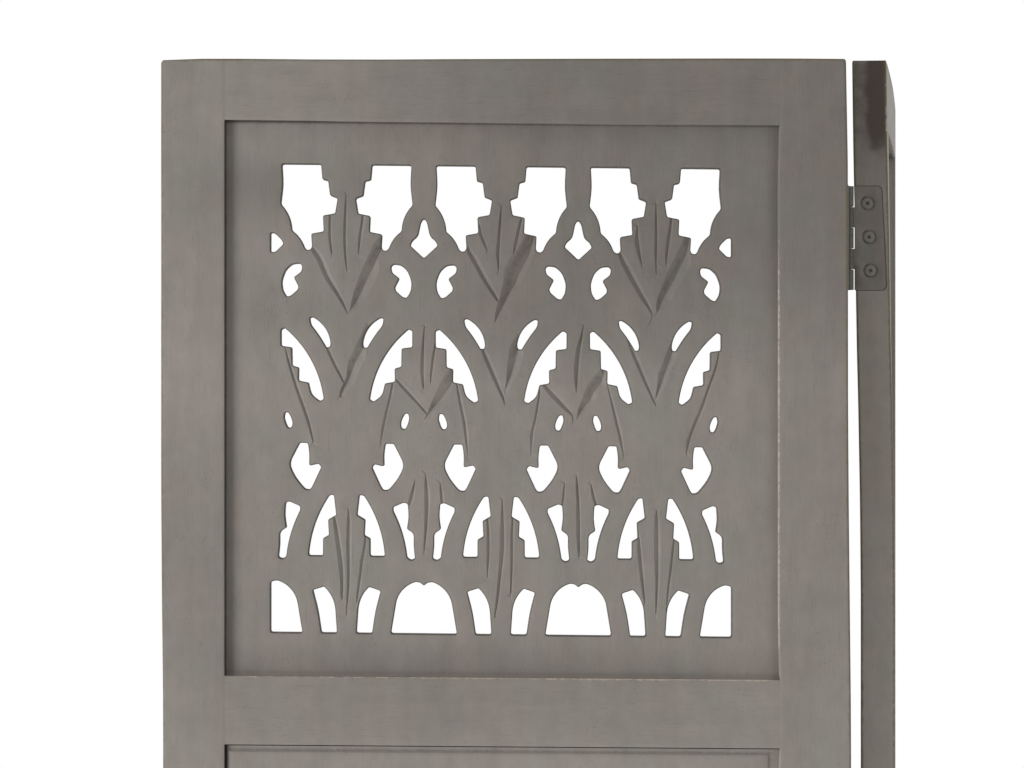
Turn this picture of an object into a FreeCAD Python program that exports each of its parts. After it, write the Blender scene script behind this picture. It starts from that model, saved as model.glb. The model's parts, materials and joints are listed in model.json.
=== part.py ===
import FreeCAD, Part
import math
import os

# A folding jali screen of two framed wooden panels, joined by two butt hinges.
# Each panel is drawn as it stands flat: x runs from its free edge to its hinge edge,
# y from its front face to its back face, and z up from the floor. Sizes are in millimetres.

Vector = FreeCAD.Vector

# Panel
panel_width = 400.0
panel_height = 1650.0
panel_thickness = 20.0
eased_arris = 1.0
rest_fold_degrees = 84.0

# Frame members
outer_stile_width = 37.0
hinge_stile_width = 40.0
top_rail_height = 38.0
upper_mid_rail_height = 40.0
lower_mid_rail_height = 40.0
bottom_rail_height = 40.0
jali_opening_height = 324.0
foot_height = 90.0

# Mortise and tenon joints
tenon_thickness = 7.0
tenon_length = 24.0
tenon_shoulder = 3.0
tenon_clearance = 0.1
mortise_end_gap = 1.0

# Boards held in grooves
board_thickness = 10.0
groove_depth = 8.0
groove_side_clearance = 0.1
board_edge_gap = 0.5
field_rise = 1.0
field_border = 4.5

# Fretwork
leaf_cells = 3
fret_side_margin = 26.5
fret_end_margin = 25.5

# Butt hinges
hinge_height = 60.0
hinge_knuckles = 5
knuckle_gap = 0.3
pin_radius = 1.6
pin_running_clearance = 0.05
leaf_thickness = 1.4
leaf_stands_proud = 0.25
leaf_front_margin = 4.0
leaf_corner_radius = 3.0
leaf_recess_clearance = 0.15
barrel_stands_back = 4.2
barrel_notch_gap = 0.4
top_hinge_drop = 103.0
bottom_hinge_level = 200.0

# Wood screws
screws_per_leaf = 3
screw_spacing = 19.6
screw_from_back = 7.4
screw_head_radius = 3.6
screw_shank_radius = 1.6
screw_shank_length = 15.0
screw_flats = 10

cut_overrun = 1.0
same_place = 0.001

# Levels and widths that follow from the sizes above
opening_width = panel_width - outer_stile_width - hinge_stile_width
opening_start = outer_stile_width
opening_end = panel_width - hinge_stile_width

bottom_rail_span = (foot_height, foot_height + bottom_rail_height)
top_rail_span = (panel_height - top_rail_height, panel_height)
jali_sill = top_rail_span[0] - jali_opening_height
upper_mid_rail_span = (jali_sill - upper_mid_rail_height, jali_sill)
plain_opening_height = (upper_mid_rail_span[0] - bottom_rail_span[1] - lower_mid_rail_height) / 2
lower_mid_rail_foot = bottom_rail_span[1] + plain_opening_height
lower_mid_rail_span = (lower_mid_rail_foot, lower_mid_rail_foot + lower_mid_rail_height)
rail_spans = {
    "bottom_rail": bottom_rail_span,
    "lower_mid_rail": lower_mid_rail_span,
    "upper_mid_rail": upper_mid_rail_span,
    "top_rail": top_rail_span,
}
opening_spans = {
    "lower_board": (bottom_rail_span[1], lower_mid_rail_span[0]),
    "middle_board": (lower_mid_rail_span[1], upper_mid_rail_span[0]),
    "jali_board": (upper_mid_rail_span[1], top_rail_span[0]),
}

board_front = (panel_thickness - board_thickness) / 2
board_back = board_front + board_thickness
groove_front = board_front - groove_side_clearance
groove_back = board_back + groove_side_clearance
board_tongue = groove_depth - board_edge_gap
tenon_front = (panel_thickness - tenon_thickness) / 2
tenon_back = tenon_front + tenon_thickness

fret_left = opening_start + fret_side_margin
fret_width = opening_width - 2 * fret_side_margin
fret_top = top_rail_span[0] - fret_end_margin
fret_height = jali_opening_height - 2 * fret_end_margin
half_cell = fret_width / (2 * leaf_cells)

knuckle_bore = pin_radius + pin_running_clearance
barrel_radius = knuckle_bore + leaf_thickness
half_gap = knuckle_bore + leaf_stands_proud
leaf_recess_depth = leaf_thickness - leaf_stands_proud
neck_start = -barrel_radius - barrel_notch_gap
leaf_reach = barrel_stands_back + panel_thickness - leaf_front_margin
knuckle_pitch = hinge_height / hinge_knuckles
hinge_axis = Vector(panel_width + half_gap, panel_thickness + barrel_stands_back, 0)
hinge_levels = {
    "top_hinge": panel_height - top_hinge_drop,
    "bottom_hinge": bottom_hinge_level,
}

# Outlines of the fretwork, in percent. Each half cell runs from the axis of a standing leaf, at 0,
# to the axis between two leaves, at 100. The second share of a point runs down the fretwork, from
# 0 at its top to 100 at its foot. An entry of two shares is a straight side to that point, and an
# entry of four is an arc through its first point to its second. Each outline closes on itself, so
# its first entry tells how the last point joins the first.
whole_percent = 100.0

crown_shares = (
    (33.2, 0), (83.8, 0), (82.3, 4.3), (85.3, 8.5), (75.5, 10.8, 71, 14.1), (60.5, 15.8, 54.5, 17.8),
    (51.5, 18.3), (47, 18.2), (45, 17.6), (46, 14.8), (29.8, 14.3), (30.8, 10.9), (15, 10.4),
    (11.8, 7.2), (21.5, 6.6), (24, 3.5), (31.5, 3.2),
)
comma_shares = (
    (57.6, 21.7), (60.5, 21.2), (70, 21.3), (79, 22.6), (84.2, 25), (82.7, 27), (77.5, 28.3),
    (72.5, 28.1), (63.5, 26.8), (62.5, 26.1), (68.6, 24.15), (58.5, 22.9),
)
slit_shares = (
    (29.8, 34.5, 44, 32.65), (47.6, 32.8), (46.5, 34.2), (36.9, 36.2), (28.3, 38.5), (26.7, 39),
    (22, 39), (20.9, 38.2),
)
flame_shares = (
    (47, 41.5, 80.2, 35), (84.9, 35.4), (84.8, 38.8), (71, 39.1), (70.6, 43), (62, 43.4),
    (62.4, 46.2), (49.5, 46.6), (45.8, 49.2), (35, 50.5), (29.8, 50.1),
)
seed_shares = (
    (71.7, 54.1), (75.5, 53.05), (79.6, 53), (81.2, 54.1), (78, 55.7), (75.7, 56.3), (71.3, 56.2),
    (69.9, 55.3),
)
spade_shares = (
    (50.3, 59.5), (60.8, 59.5), (74.9, 64), (66.8, 66.8), (57.5, 68.7), (53.5, 69.35), (47.5, 69.4),
    (44.8, 68.8), (33, 64.6), (36.2, 63.9), (48.8, 64.4), (48.2, 61.8),
)
fin_shares = (
    (16.6, 70.5), (22.2, 70.6), (38.7, 75.7, 49.4, 83.5), (30.7, 83.5), (30.6, 79.8),
    (23, 79.1), (24.1, 75.8), (13.6, 74.8),
)
thorn_shares = (
    (60.5, 73), (74, 72), (79, 72.3), (80.4, 75), (77.9, 77.6), (86.9, 78.6), (86.6, 81.3),
    (88.4, 83.9), (83.5, 84.3), (78.4, 83.8), (72.5, 78.8, 60.2, 73.8),
)
strip_shares = (
    (19.5, 92.2, 29.3, 90.1), (43.9, 90.9), (37, 95.2), (32.7, 100), (12.7, 100), (14.6, 95.2),
)
half_cell_outline_shares = (
    crown_shares, comma_shares, slit_shares, flame_shares, seed_shares,
    spade_shares, fin_shares, thorn_shares, strip_shares,
)

# Two cutouts stand across the axis between leaves, so only one half of each is written. At the
# two ends of the fretwork the halves stop at an upright side instead.
border_share = 98.4
drop_half_shares = ((100, 11.3), (96.2, 12.1), (92.4, 15.1), (85, 16.1), (82.4, 17.1), (100, 19.8))
arch_half_shares = (
    (100, 89.75), (95.5, 89.05), (89.5, 88.9), (74, 90.4, 63.8, 93.5), (57.3, 100), (100, 100),
)
end_drop_shares = (
    (border_share, 14.7), (93.3, 14.8), (84.2, 16.2), (82, 17.1), (92.5, 18.8), (border_share, 18.8),
)
end_arch_shares = ((border_share, 89.4),) + arch_half_shares[1:-1] + ((border_share, 100),)


def block(x_span, y_span, z_span):
    """A squared piece between three pairs of planes."""
    corner = Vector(x_span[0], y_span[0], z_span[0])
    return Part.makeBox(x_span[1] - x_span[0], y_span[1] - y_span[0], z_span[1] - z_span[0], corner)


def on_plane(edge, direction, level):
    """True when both ends of an edge lie on the plane at this level along x, y or z."""
    return all(abs(getattr(end.Point, direction) - level) < same_place for end in edge.Vertexes)


def tenon_span(rail_span):
    """Lowest and highest level of a rail's tenons, clear of the grooves in its edges."""
    inset = groove_depth + tenon_shoulder
    return (rail_span[0] + inset, rail_span[1] - inset)


def stile(width):
    """A stile with its outer edge at x = 0, grooved and mortised in its inner edge."""
    piece = block((0, width), (0, panel_thickness), (0, panel_height))
    eased = [edge for edge in piece.Edges if on_plane(edge, "x", 0) and not on_plane(edge, "z", 0)]
    piece = piece.makeChamfer(eased_arris, eased)
    for sill, head in opening_spans.values():
        groove = block(
            (width - groove_depth, width + cut_overrun),
            (groove_front, groove_back),
            (sill - groove_depth, head + groove_depth),
        )
        piece = piece.cut(groove)
    for rail_span in rail_spans.values():
        lowest, highest = tenon_span(rail_span)
        mortise = block(
            (width - tenon_length - mortise_end_gap, width + cut_overrun),
            (tenon_front - tenon_clearance, tenon_back + tenon_clearance),
            (lowest - tenon_clearance, highest + tenon_clearance),
        )
        piece = piece.cut(mortise)
    return piece


def rail(name):
    """A rail between the stiles, with its two tenons and the grooves for the boards beside it."""
    foot, head = rail_spans[name]
    piece = block((opening_start, opening_end), (0, panel_thickness), (foot, head))
    tenons = block(
        (opening_start - tenon_length, opening_end + tenon_length),
        (tenon_front, tenon_back),
        tenon_span((foot, head)),
    )
    piece = piece.fuse(tenons).removeSplitter()
    grooved_levels = []
    if name != "top_rail":
        grooved_levels.append((head - groove_depth, head + cut_overrun))
    if name != "bottom_rail":
        grooved_levels.append((foot - cut_overrun, foot + groove_depth))
    for levels in grooved_levels:
        run = (opening_start - cut_overrun, opening_end + cut_overrun)
        piece = piece.cut(block(run, (groove_front, groove_back), levels))
    return piece


def board_block(name):
    """A board's squared blank, which stands in the groove under it and is free in the others."""
    sill, head = opening_spans[name]
    return block(
        (opening_start - board_tongue, opening_end + board_tongue),
        (board_front, board_back),
        (sill - groove_depth, head + board_tongue),
    )


def fielded_board(name):
    """A solid board whose field stands a little proud of the border round it."""
    sill, head = opening_spans[name]
    field = block(
        (opening_start + field_border, opening_end - field_border),
        (board_front - field_rise, board_back),
        (sill + field_border, head - field_border),
    )
    return board_block(name).fuse(field).removeSplitter()


def fret_point(shares, leaf_axis, side):
    """Where a pair of shares lies on the board's front face, on one side of a leaf's axis."""
    across, down = shares
    x = leaf_axis + side * half_cell * across / whole_percent
    z = fret_top - fret_height * down / whole_percent
    return Vector(x, board_front, z)


def fret_side(start_shares, entry, leaf_axis, side):
    """One side of a cutout, straight or an arc, as its entry says."""
    start = fret_point(start_shares, leaf_axis, side)
    end = fret_point(entry[-2:], leaf_axis, side)
    if len(entry) == 2:
        return Part.LineSegment(start, end).toShape()
    middle = fret_point(entry[:2], leaf_axis, side)
    return Part.Arc(start, middle, end).toShape()


def closed_cutout(outline, leaf_axis, side):
    """The wire of a cutout that lies on one side of a leaf's axis."""
    before = outline[-1:] + outline[:-1]
    sides = [fret_side(last[-2:], entry, leaf_axis, side) for last, entry in zip(before, outline)]
    return Part.Wire(sides)


def straddling_cutout(half_outline, left_leaf_axis):
    """The wire of a cutout that stands across the axis between two leaves."""
    right_leaf_axis = left_leaf_axis + 2 * half_cell
    sides = []
    for leaf_axis, side in ((left_leaf_axis, 1), (right_leaf_axis, -1)):
        for last, entry in zip(half_outline[:-1], half_outline[1:]):
            sides.append(fret_side(last[-2:], entry, leaf_axis, side))
    return Part.Wire(Part.__sortEdges__(sides))


def fret_cutouts():
    """The wires of every cutout of the fretwork."""
    leaf_axes = [fret_left + half_cell * (2 * cell + 1) for cell in range(leaf_cells)]
    wires = [
        closed_cutout(outline, leaf_axis, side)
        for leaf_axis in leaf_axes for side in (-1, 1) for outline in half_cell_outline_shares
    ]
    wires += [
        straddling_cutout(half_outline, leaf_axis)
        for leaf_axis in leaf_axes[:-1] for half_outline in (drop_half_shares, arch_half_shares)
    ]
    wires += [
        closed_cutout(outline, leaf_axis, side)
        for leaf_axis, side in ((leaf_axes[0], -1), (leaf_axes[-1], 1))
        for outline in (end_drop_shares, end_arch_shares)
    ]
    return wires


def jali_board():
    """The pierced board: three standing leaves and the stems between them, cut right through."""
    blank = board_block("jali_board")
    outside = [face for face in blank.Faces if all(on_plane(edge, "y", board_front) for edge in face.Edges)]
    pierced = Part.makeFace([outside[0].OuterWire] + fret_cutouts(), "Part::FaceMakerBullseye")
    return pierced.extrude(Vector(0, board_thickness, 0))


def leaf_flat(outer, clearance):
    """The flat of a hinge leaf as far out as y = outer, with the two corners in the wood rounded."""
    inner = -leaf_reach - clearance
    top = hinge_height / 2 + clearance
    plate = block((-barrel_radius, -knuckle_bore), (inner, outer), (-top, top))
    corners = [
        edge for edge in plate.Edges
        if on_plane(edge, "y", inner) and not on_plane(edge, "x", -barrel_radius)
        and not on_plane(edge, "x", -knuckle_bore)
    ]
    return plate.makeFillet(leaf_corner_radius + clearance, corners)


def knuckle(number, bore_radius):
    """One knuckle rolled round the pin, with the neck that joins it to the flat of its leaf."""
    foot = -hinge_height / 2 + knuckle_pitch * number + knuckle_gap / 2
    length = knuckle_pitch - knuckle_gap
    closing = -math.sqrt(barrel_radius ** 2 - knuckle_bore ** 2)
    rolled_end = Vector(-knuckle_bore, closing, foot)
    neck_outer = Vector(-barrel_radius, neck_start, foot)
    neck_inner = Vector(-knuckle_bore, neck_start, foot)
    roll_start = Vector(-barrel_radius, 0, foot)
    roll_far = Vector(barrel_radius, 0, foot)
    outline = Part.Wire([
        Part.LineSegment(neck_outer, roll_start).toShape(),
        Part.Arc(roll_start, roll_far, rolled_end).toShape(),
        Part.LineSegment(rolled_end, neck_inner).toShape(),
        Part.LineSegment(neck_inner, neck_outer).toShape(),
    ])
    solid = Part.Face(outline).extrude(Vector(0, 0, length))
    bore = Part.makeCylinder(bore_radius, length + 2 * cut_overrun, Vector(0, 0, foot - cut_overrun))
    return solid.cut(bore)


def screw_places():
    """Where the screws of a leaf lie, on the wood side of its flat."""
    half_row = screw_spacing * (screws_per_leaf - 1) / 2
    return [
        Vector(-barrel_radius, -barrel_stands_back - screw_from_back, screw_spacing * number - half_row)
        for number in range(screws_per_leaf)
    ]


def screw_ring(place, radius):
    """Corners of a screw's outline across x through a place, with flats in place of a circle."""
    turns = [2 * math.pi * flat / screw_flats for flat in range(screw_flats)]
    return [place + Vector(0, radius * math.cos(turn), radius * math.sin(turn)) for turn in turns]


def flat_face(corners):
    """The flat face within these corners."""
    return Part.Face(Part.makePolygon(corners + corners[:1]))


def screw_head(place):
    """The countersunk head, flush with the face of the leaf."""
    foot = screw_ring(place, screw_shank_radius)
    rim = screw_ring(place + Vector(leaf_thickness, 0, 0), screw_head_radius)
    flanks = [
        flat_face([foot[flat - 1], foot[flat], rim[flat], rim[flat - 1]]) for flat in range(screw_flats)
    ]
    return Part.Solid(Part.Shell(flanks + [flat_face(foot), flat_face(rim)]))


def screw_shank(place):
    """The shank, driven into the stile."""
    section = flat_face(screw_ring(place, screw_shank_radius))
    return section.extrude(Vector(-screw_shank_length, 0, 0))


def hinge_leaf(knuckle_numbers, bore_radius):
    """A leaf about the hinge's own axis and middle level, its flat on the side of negative x."""
    leaf = leaf_flat(neck_start, 0)
    for number in knuckle_numbers:
        leaf = leaf.fuse(knuckle(number, bore_radius))
    leaf = leaf.removeSplitter()
    for place in screw_places():
        leaf = leaf.cut(screw_head(place))
    return leaf


def leaf_screws():
    """The wood screws of one leaf, each a separate solid."""
    return Part.Compound([screw_head(place).fuse(screw_shank(place)) for place in screw_places()])


def hinge_pin():
    """The pin, fast in the front panel's knuckles and free in the folded panel's."""
    return Part.makeCylinder(pin_radius, hinge_height, Vector(0, 0, -hinge_height / 2))


def recess_cutter():
    """What a leaf and its screws take out of the stile's hinge edge."""
    cutter = leaf_flat(0, leaf_recess_clearance)
    for place in screw_places():
        cutter = cutter.fuse(screw_shank(place))
    return cutter


def at_hinge(shape, level):
    """A hinge piece moved from its own axis to its place beside the flat panel."""
    moved = shape.copy()
    moved.translate(hinge_axis + Vector(0, 0, level))
    return moved


def hinge_stile():
    """The wider stile, with the recesses and screw holes of the two hinges in its edge."""
    piece = stile(hinge_stile_width).mirror(Vector(panel_width / 2, 0, 0), Vector(1, 0, 0))
    for level in hinge_levels.values():
        piece = piece.cut(at_hinge(recess_cutter(), level))
    return piece


def panel_pieces(panel_name, knuckle_numbers, bore_radius):
    """Every piece that moves with one panel, as the panel stands flat."""
    pieces = {
        "outer_stile": stile(outer_stile_width),
        "hinge_stile": hinge_stile(),
        "jali_board": jali_board(),
        "middle_board": fielded_board("middle_board"),
        "lower_board": fielded_board("lower_board"),
    }
    for name in rail_spans:
        pieces[name] = rail(name)
    named = {panel_name + "_" + name: piece for name, piece in pieces.items()}
    for hinge_name, level in hinge_levels.items():
        leaf = hinge_leaf(knuckle_numbers, bore_radius)
        named[hinge_name + "_" + panel_name + "_leaf"] = at_hinge(leaf, level)
        named[hinge_name + "_" + panel_name + "_screws"] = at_hinge(leaf_screws(), level)
    return named


def folded(shape):
    """A piece of the second panel: the front panel's twin beyond the hinge, folded back."""
    twin = shape.mirror(hinge_axis, Vector(1, 0, 0))
    twin.rotate(hinge_axis, Vector(0, 0, 1), rest_fold_degrees)
    return twin


def screen_pieces():
    """Every piece of the screen by name, standing on z = 0 about the middle of its footprint."""
    pieces = panel_pieces("front", range(0, hinge_knuckles, 2), pin_radius)
    for hinge_name, level in hinge_levels.items():
        pieces[hinge_name + "_pin"] = at_hinge(hinge_pin(), level)
    for name, piece in panel_pieces("folded", range(1, hinge_knuckles, 2), knuckle_bore).items():
        pieces[name] = folded(piece)
    extent = Part.Compound(list(pieces.values())).optimalBoundingBox(False)
    middle = Vector(-extent.Center.x, -extent.Center.y, 0)
    for piece in pieces.values():
        piece.translate(middle)
    place = hinge_axis + middle
    print("hinge axis at x %.4f y %.4f" % (place.x, place.y))
    print("overall %.3f by %.3f by %.3f" % (extent.XLength, extent.YLength, extent.ZLength))
    return pieces


def main():
    """Write one STEP file for each named piece."""
    os.makedirs("parts", exist_ok=True)
    for name, piece in screen_pieces().items():
        print(name, "solids", len(piece.Solids), "valid", piece.isValid(), "volume %.1f" % piece.Volume)
        piece.exportStep(os.path.join("parts", name + ".step"))


main()
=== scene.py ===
"""A folding jali screen: two framed panels of grey washed wood, joined by two butt hinges."""

import json
import logging
import math
import random
from dataclasses import dataclass, field
from enum import Enum
from typing import Callable, Iterable, Sequence

import bmesh
import bpy
import numpy as np
from mathutils import Matrix, Vector, noise
from mathutils.geometry import delaunay_2d_cdt


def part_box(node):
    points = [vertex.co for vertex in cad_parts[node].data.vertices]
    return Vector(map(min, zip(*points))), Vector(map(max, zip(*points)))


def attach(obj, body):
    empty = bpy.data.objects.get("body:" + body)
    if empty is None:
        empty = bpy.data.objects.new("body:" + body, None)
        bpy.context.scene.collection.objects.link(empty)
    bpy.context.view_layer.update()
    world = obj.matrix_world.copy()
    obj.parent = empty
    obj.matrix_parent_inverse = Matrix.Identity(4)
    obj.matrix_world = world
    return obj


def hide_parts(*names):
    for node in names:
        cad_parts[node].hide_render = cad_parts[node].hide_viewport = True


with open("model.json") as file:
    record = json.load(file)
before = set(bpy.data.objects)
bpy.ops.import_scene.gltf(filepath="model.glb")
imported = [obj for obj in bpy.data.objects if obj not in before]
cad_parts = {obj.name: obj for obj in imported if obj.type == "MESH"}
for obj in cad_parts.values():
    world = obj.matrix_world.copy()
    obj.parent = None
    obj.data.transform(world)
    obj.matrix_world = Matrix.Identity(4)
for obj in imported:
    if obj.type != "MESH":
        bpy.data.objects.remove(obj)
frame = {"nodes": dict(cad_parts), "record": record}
log = logging.getLogger("jali_screen")

MM = 0.001
RGB_STEPS = 255.0

Socket = bpy.types.NodeSocket
Tree = bpy.types.NodeTree
Mesh = bpy.types.Mesh
Span = tuple[float, float]
Point = tuple[float, float, float]
Face = tuple[int, ...]


class PanelName(Enum):
    """The two panels, by the word that their nodes' names begin with."""

    FRONT = "front"
    FOLDED = "folded"


class Slot(Enum):
    """The record's material slots."""

    WOOD = "grey_wood"
    HINGE = "hinge_metal"
    SCREW = "screw_metal"
    PIN = "pin_metal"


class Grain(Enum):
    """Which way a wooden piece's grain runs."""

    UPRIGHT = "upright"
    ACROSS = "across"


@dataclass(frozen=True)
class Colour:
    """A colour as it looks on a screen, each part from 0 to 255."""

    red: float
    green: float
    blue: float

    def linear(self) -> tuple[float, float, float, float]:
        """The colour as a shader socket takes it."""
        parts = []
        for part in (self.red, self.green, self.blue):
            share = part / RGB_STEPS
            low = share / 12.92
            high = ((share + 0.055) / 1.055) ** 2.4
            parts.append(low if share <= 0.04045 else high)
        return (parts[0], parts[1], parts[2], 1.0)


# Shader nodes


class Nodes:
    """A node tree with short ways to add nodes and join them."""

    def __init__(self, tree: Tree) -> None:
        """Keep the tree that the nodes go into."""
        self.tree = tree

    def add(self, kind: str, inputs: dict | None = None, **settings: object) -> bpy.types.Node:
        """Add a node.

        Args:
            kind: The node's type name.
            inputs: What goes into its sockets, by name or number: a value, or a socket to link.
            settings: Properties to set on the node first.

        Returns:
            The new node.
        """
        node = self.tree.nodes.new(kind)
        for name, value in settings.items():
            setattr(node, name, value)
        for key, value in (inputs or {}).items():
            self.put(node.inputs[key], value)
        return node

    def put(self, socket: Socket, value: object) -> None:
        """Set a socket to a value, or link another socket to it."""
        if isinstance(value, Socket):
            self.tree.links.new(value, socket)
        else:
            socket.default_value = value

    def maths(self, operation: str, *values: object, clamp: bool = False) -> Socket:
        """The result of one operation on numbers or sockets."""
        node = self.add("ShaderNodeMath", operation=operation, use_clamp=clamp)
        for place, value in enumerate(values):
            self.put(node.inputs[place], value)
        return node.outputs[0]

    def mix(self, factor: object, first: object, second: object, blend: str = "MIX") -> Socket:
        """Two colours mixed by a factor."""
        node = self.add("ShaderNodeMix", data_type="RGBA", blend_type=blend)
        self.put(node.inputs[0], factor)
        self.put(node.inputs[6], first)
        self.put(node.inputs[7], second)
        return node.outputs[2]

    def ramp(self, value: object, start: float, end: float, low: float = 0.0, high: float = 1.0) -> Socket:
        """A value eased from low to high as it goes from start to end."""
        inputs = {"Value": value, "From Min": start, "From Max": end, "To Min": low, "To Max": high}
        return self.add("ShaderNodeMapRange", inputs, interpolation_type="SMOOTHSTEP").outputs[0]

    def noise(self, vector: Socket, scale: object, detail: float = 2.0, rough: float = 0.5) -> Socket:
        """Noise from 0 to 1 over a vector."""
        inputs = {"Vector": vector, "Scale": scale, "Detail": detail, "Roughness": rough}
        return self.add("ShaderNodeTexNoise", inputs).outputs[0]

    def scaled(self, vector: Socket, factors: Sequence[float], offset: Sequence[float] = (0, 0, 0)) -> Socket:
        """A vector with each part multiplied, then moved."""
        inputs = {0: vector, 1: tuple(factors), 2: tuple(offset)}
        return self.add("ShaderNodeVectorMath", inputs, operation="MULTIPLY_ADD").outputs[0]

    def attribute(self, name: str) -> bpy.types.Node:
        """The node that reads one of the mesh's attributes."""
        return self.add("ShaderNodeAttribute", attribute_name=name)


class Effect:
    """A node group that several materials share, built once."""

    built: dict[str, Tree] = {}

    @classmethod
    def tree(cls, name: str, inputs: dict[str, object], outputs: dict[str, str],
             draw: Callable[[Nodes, Callable[[str], Socket]], dict[str, Socket]]) -> Tree:
        """Build the group, or find it if it is built already.

        Args:
            name: The group's name.
            inputs: Each input's name and default; a number, a colour of four or a vector of three.
            outputs: Each output's name and socket type.
            draw: Adds the nodes, given the node helper and a way to get an input's socket.

        Returns:
            The group's node tree.
        """
        if name in cls.built:
            return cls.built[name]
        tree = bpy.data.node_groups.new(name, "ShaderNodeTree")
        for title, value in inputs.items():
            kind = "NodeSocketFloat"
            if isinstance(value, tuple):
                kind = "NodeSocketColor" if len(value) == 4 else "NodeSocketVector"
            socket = tree.interface.new_socket(name=title, in_out="INPUT", socket_type=kind)
            socket.default_value = value
        for title, kind in outputs.items():
            tree.interface.new_socket(name=title, in_out="OUTPUT", socket_type=kind)
        nodes = Nodes(tree)
        source = nodes.add("NodeGroupInput")
        target = nodes.add("NodeGroupOutput")
        for title, socket in draw(nodes, lambda title: source.outputs[title]).items():
            tree.links.new(socket, target.inputs[title])
        cls.built[name] = tree
        return tree

    @staticmethod
    def place(nodes: Nodes, tree: Tree, inputs: dict[str, object]) -> bpy.types.Node:
        """Place a group in a material with its own values."""
        node = nodes.add("ShaderNodeGroup", node_tree=tree)
        for title, value in inputs.items():
            nodes.put(node.inputs[title], value)
        return node


def wood_fibre() -> Tree:
    """The group for the fibres and pores of wood, which run along the third axis of its vector."""
    def draw(nodes: Nodes, get: Callable[[str], Socket]) -> dict[str, Socket]:
        """Fine fibres, a broad figure and short dark pores."""
        fine = nodes.noise(nodes.scaled(get("Vector"), (1, 1, 0.03)), get("Fibres per metre"), 3.0, 0.6)
        broad = nodes.noise(nodes.scaled(get("Vector"), (1, 1, 0.09), (3.1, 1.7, 0.4)), 130.0, 2.0)
        pore = nodes.noise(nodes.scaled(get("Vector"), (1, 1, 0.045), (0.2, 5.3, 1.1)), 2300.0, 1.0)
        pores = nodes.ramp(pore, 0.64, 0.74)
        height = nodes.maths("SUBTRACT", fine, nodes.maths("MULTIPLY", pores, 0.6))
        return {"Fibre": fine, "Figure": broad, "Pores": pores, "Height": height}
    inputs = {"Vector": (0.0, 0.0, 0.0), "Fibres per metre": 1300.0}
    kinds = {name: "NodeSocketFloat" for name in ("Fibre", "Figure", "Pores", "Height")}
    return Effect.tree("wood_fibre", inputs, kinds, draw)


def cloudy_wash() -> Tree:
    """The group for a thin wash of paint that dried in cool, warm and darker clouds."""
    def draw(nodes: Nodes, get: Callable[[str], Socket]) -> dict[str, Socket]:
        """Three layers of clouds over the base colour, then soft smudges."""
        place = nodes.scaled(get("Vector"), (1, 1, 0.7))
        cool = nodes.ramp(nodes.noise(place, get("Clouds per metre"), 3.0, 0.55), 0.46, 0.66)
        moved = nodes.scaled(place, (1, 1, 1), (7.3, 2.9, 5.1))
        warm = nodes.ramp(nodes.noise(moved, get("Clouds per metre"), 3.0, 0.55), 0.46, 0.66)
        smeared = nodes.scaled(get("Vector"), (1, 1, 0.16), (1.3, 8.2, 3.3))
        dark = nodes.ramp(nodes.noise(smeared, 34.0, 4.0, 0.6), 0.42, 0.72)
        colour = nodes.mix(nodes.maths("MULTIPLY", cool, get("Amount")), get("Base"), get("Cool"))
        colour = nodes.mix(nodes.maths("MULTIPLY", warm, get("Amount")), colour, get("Warm"))
        colour = nodes.mix(nodes.maths("MULTIPLY", dark, get("Shade amount")), colour, get("Shade"))
        rubbed = nodes.scaled(get("Vector"), (1, 1, 0.75), (4.4, 0.6, 9.5))
        smudge = nodes.noise(rubbed, get("Smudges per metre"), 3.0, 0.6)
        lowest = nodes.maths("MULTIPLY_ADD", get("Smudge"), -0.5, 1.0)
        grey = nodes.maths("MULTIPLY_ADD", smudge, get("Smudge"), lowest)
        tint = nodes.add("ShaderNodeCombineColor", {0: grey, 1: grey, 2: grey}).outputs[0]
        return {"Color": nodes.mix(1.0, colour, tint, "MULTIPLY")}
    grey = (0.5, 0.5, 0.5, 1.0)
    inputs = {
        "Vector": (0.0, 0.0, 0.0), "Clouds per metre": 30.0, "Amount": 0.7, "Shade amount": 0.4,
        "Smudges per metre": 95.0, "Smudge": 0.3,
        "Base": grey, "Cool": grey, "Warm": grey, "Shade": grey,
    }
    return Effect.tree("cloudy_wash", inputs, {"Color": "NodeSocketColor"}, draw)


def broken_mask() -> Tree:
    """The group that breaks a smooth mask up with noise, for worn arrises, soil and chipped paint, and for
    painted shade and painted light.
    """
    def draw(nodes: Nodes, get: Callable[[str], Socket]) -> dict[str, Socket]:
        """The mask plus noise, cut off softly."""
        rough = nodes.noise(get("Vector"), get("Breaks per metre"), 3.0, 0.6)
        swing = nodes.maths("MULTIPLY", nodes.maths("SUBTRACT", rough, 0.5), get("Break"))
        total = nodes.maths("ADD", get("Mask"), swing)
        low = nodes.maths("SUBTRACT", get("Level"), get("Softness"))
        high = nodes.maths("ADD", get("Level"), get("Softness"))
        return {"Mask": nodes.ramp(total, low, high)}
    inputs = {
        "Vector": (0.0, 0.0, 0.0), "Mask": 0.0, "Breaks per metre": 300.0, "Break": 1.0,
        "Level": 0.6, "Softness": 0.15,
    }
    return Effect.tree("broken_mask", inputs, {"Mask": "NodeSocketFloat"}, draw)


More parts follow.
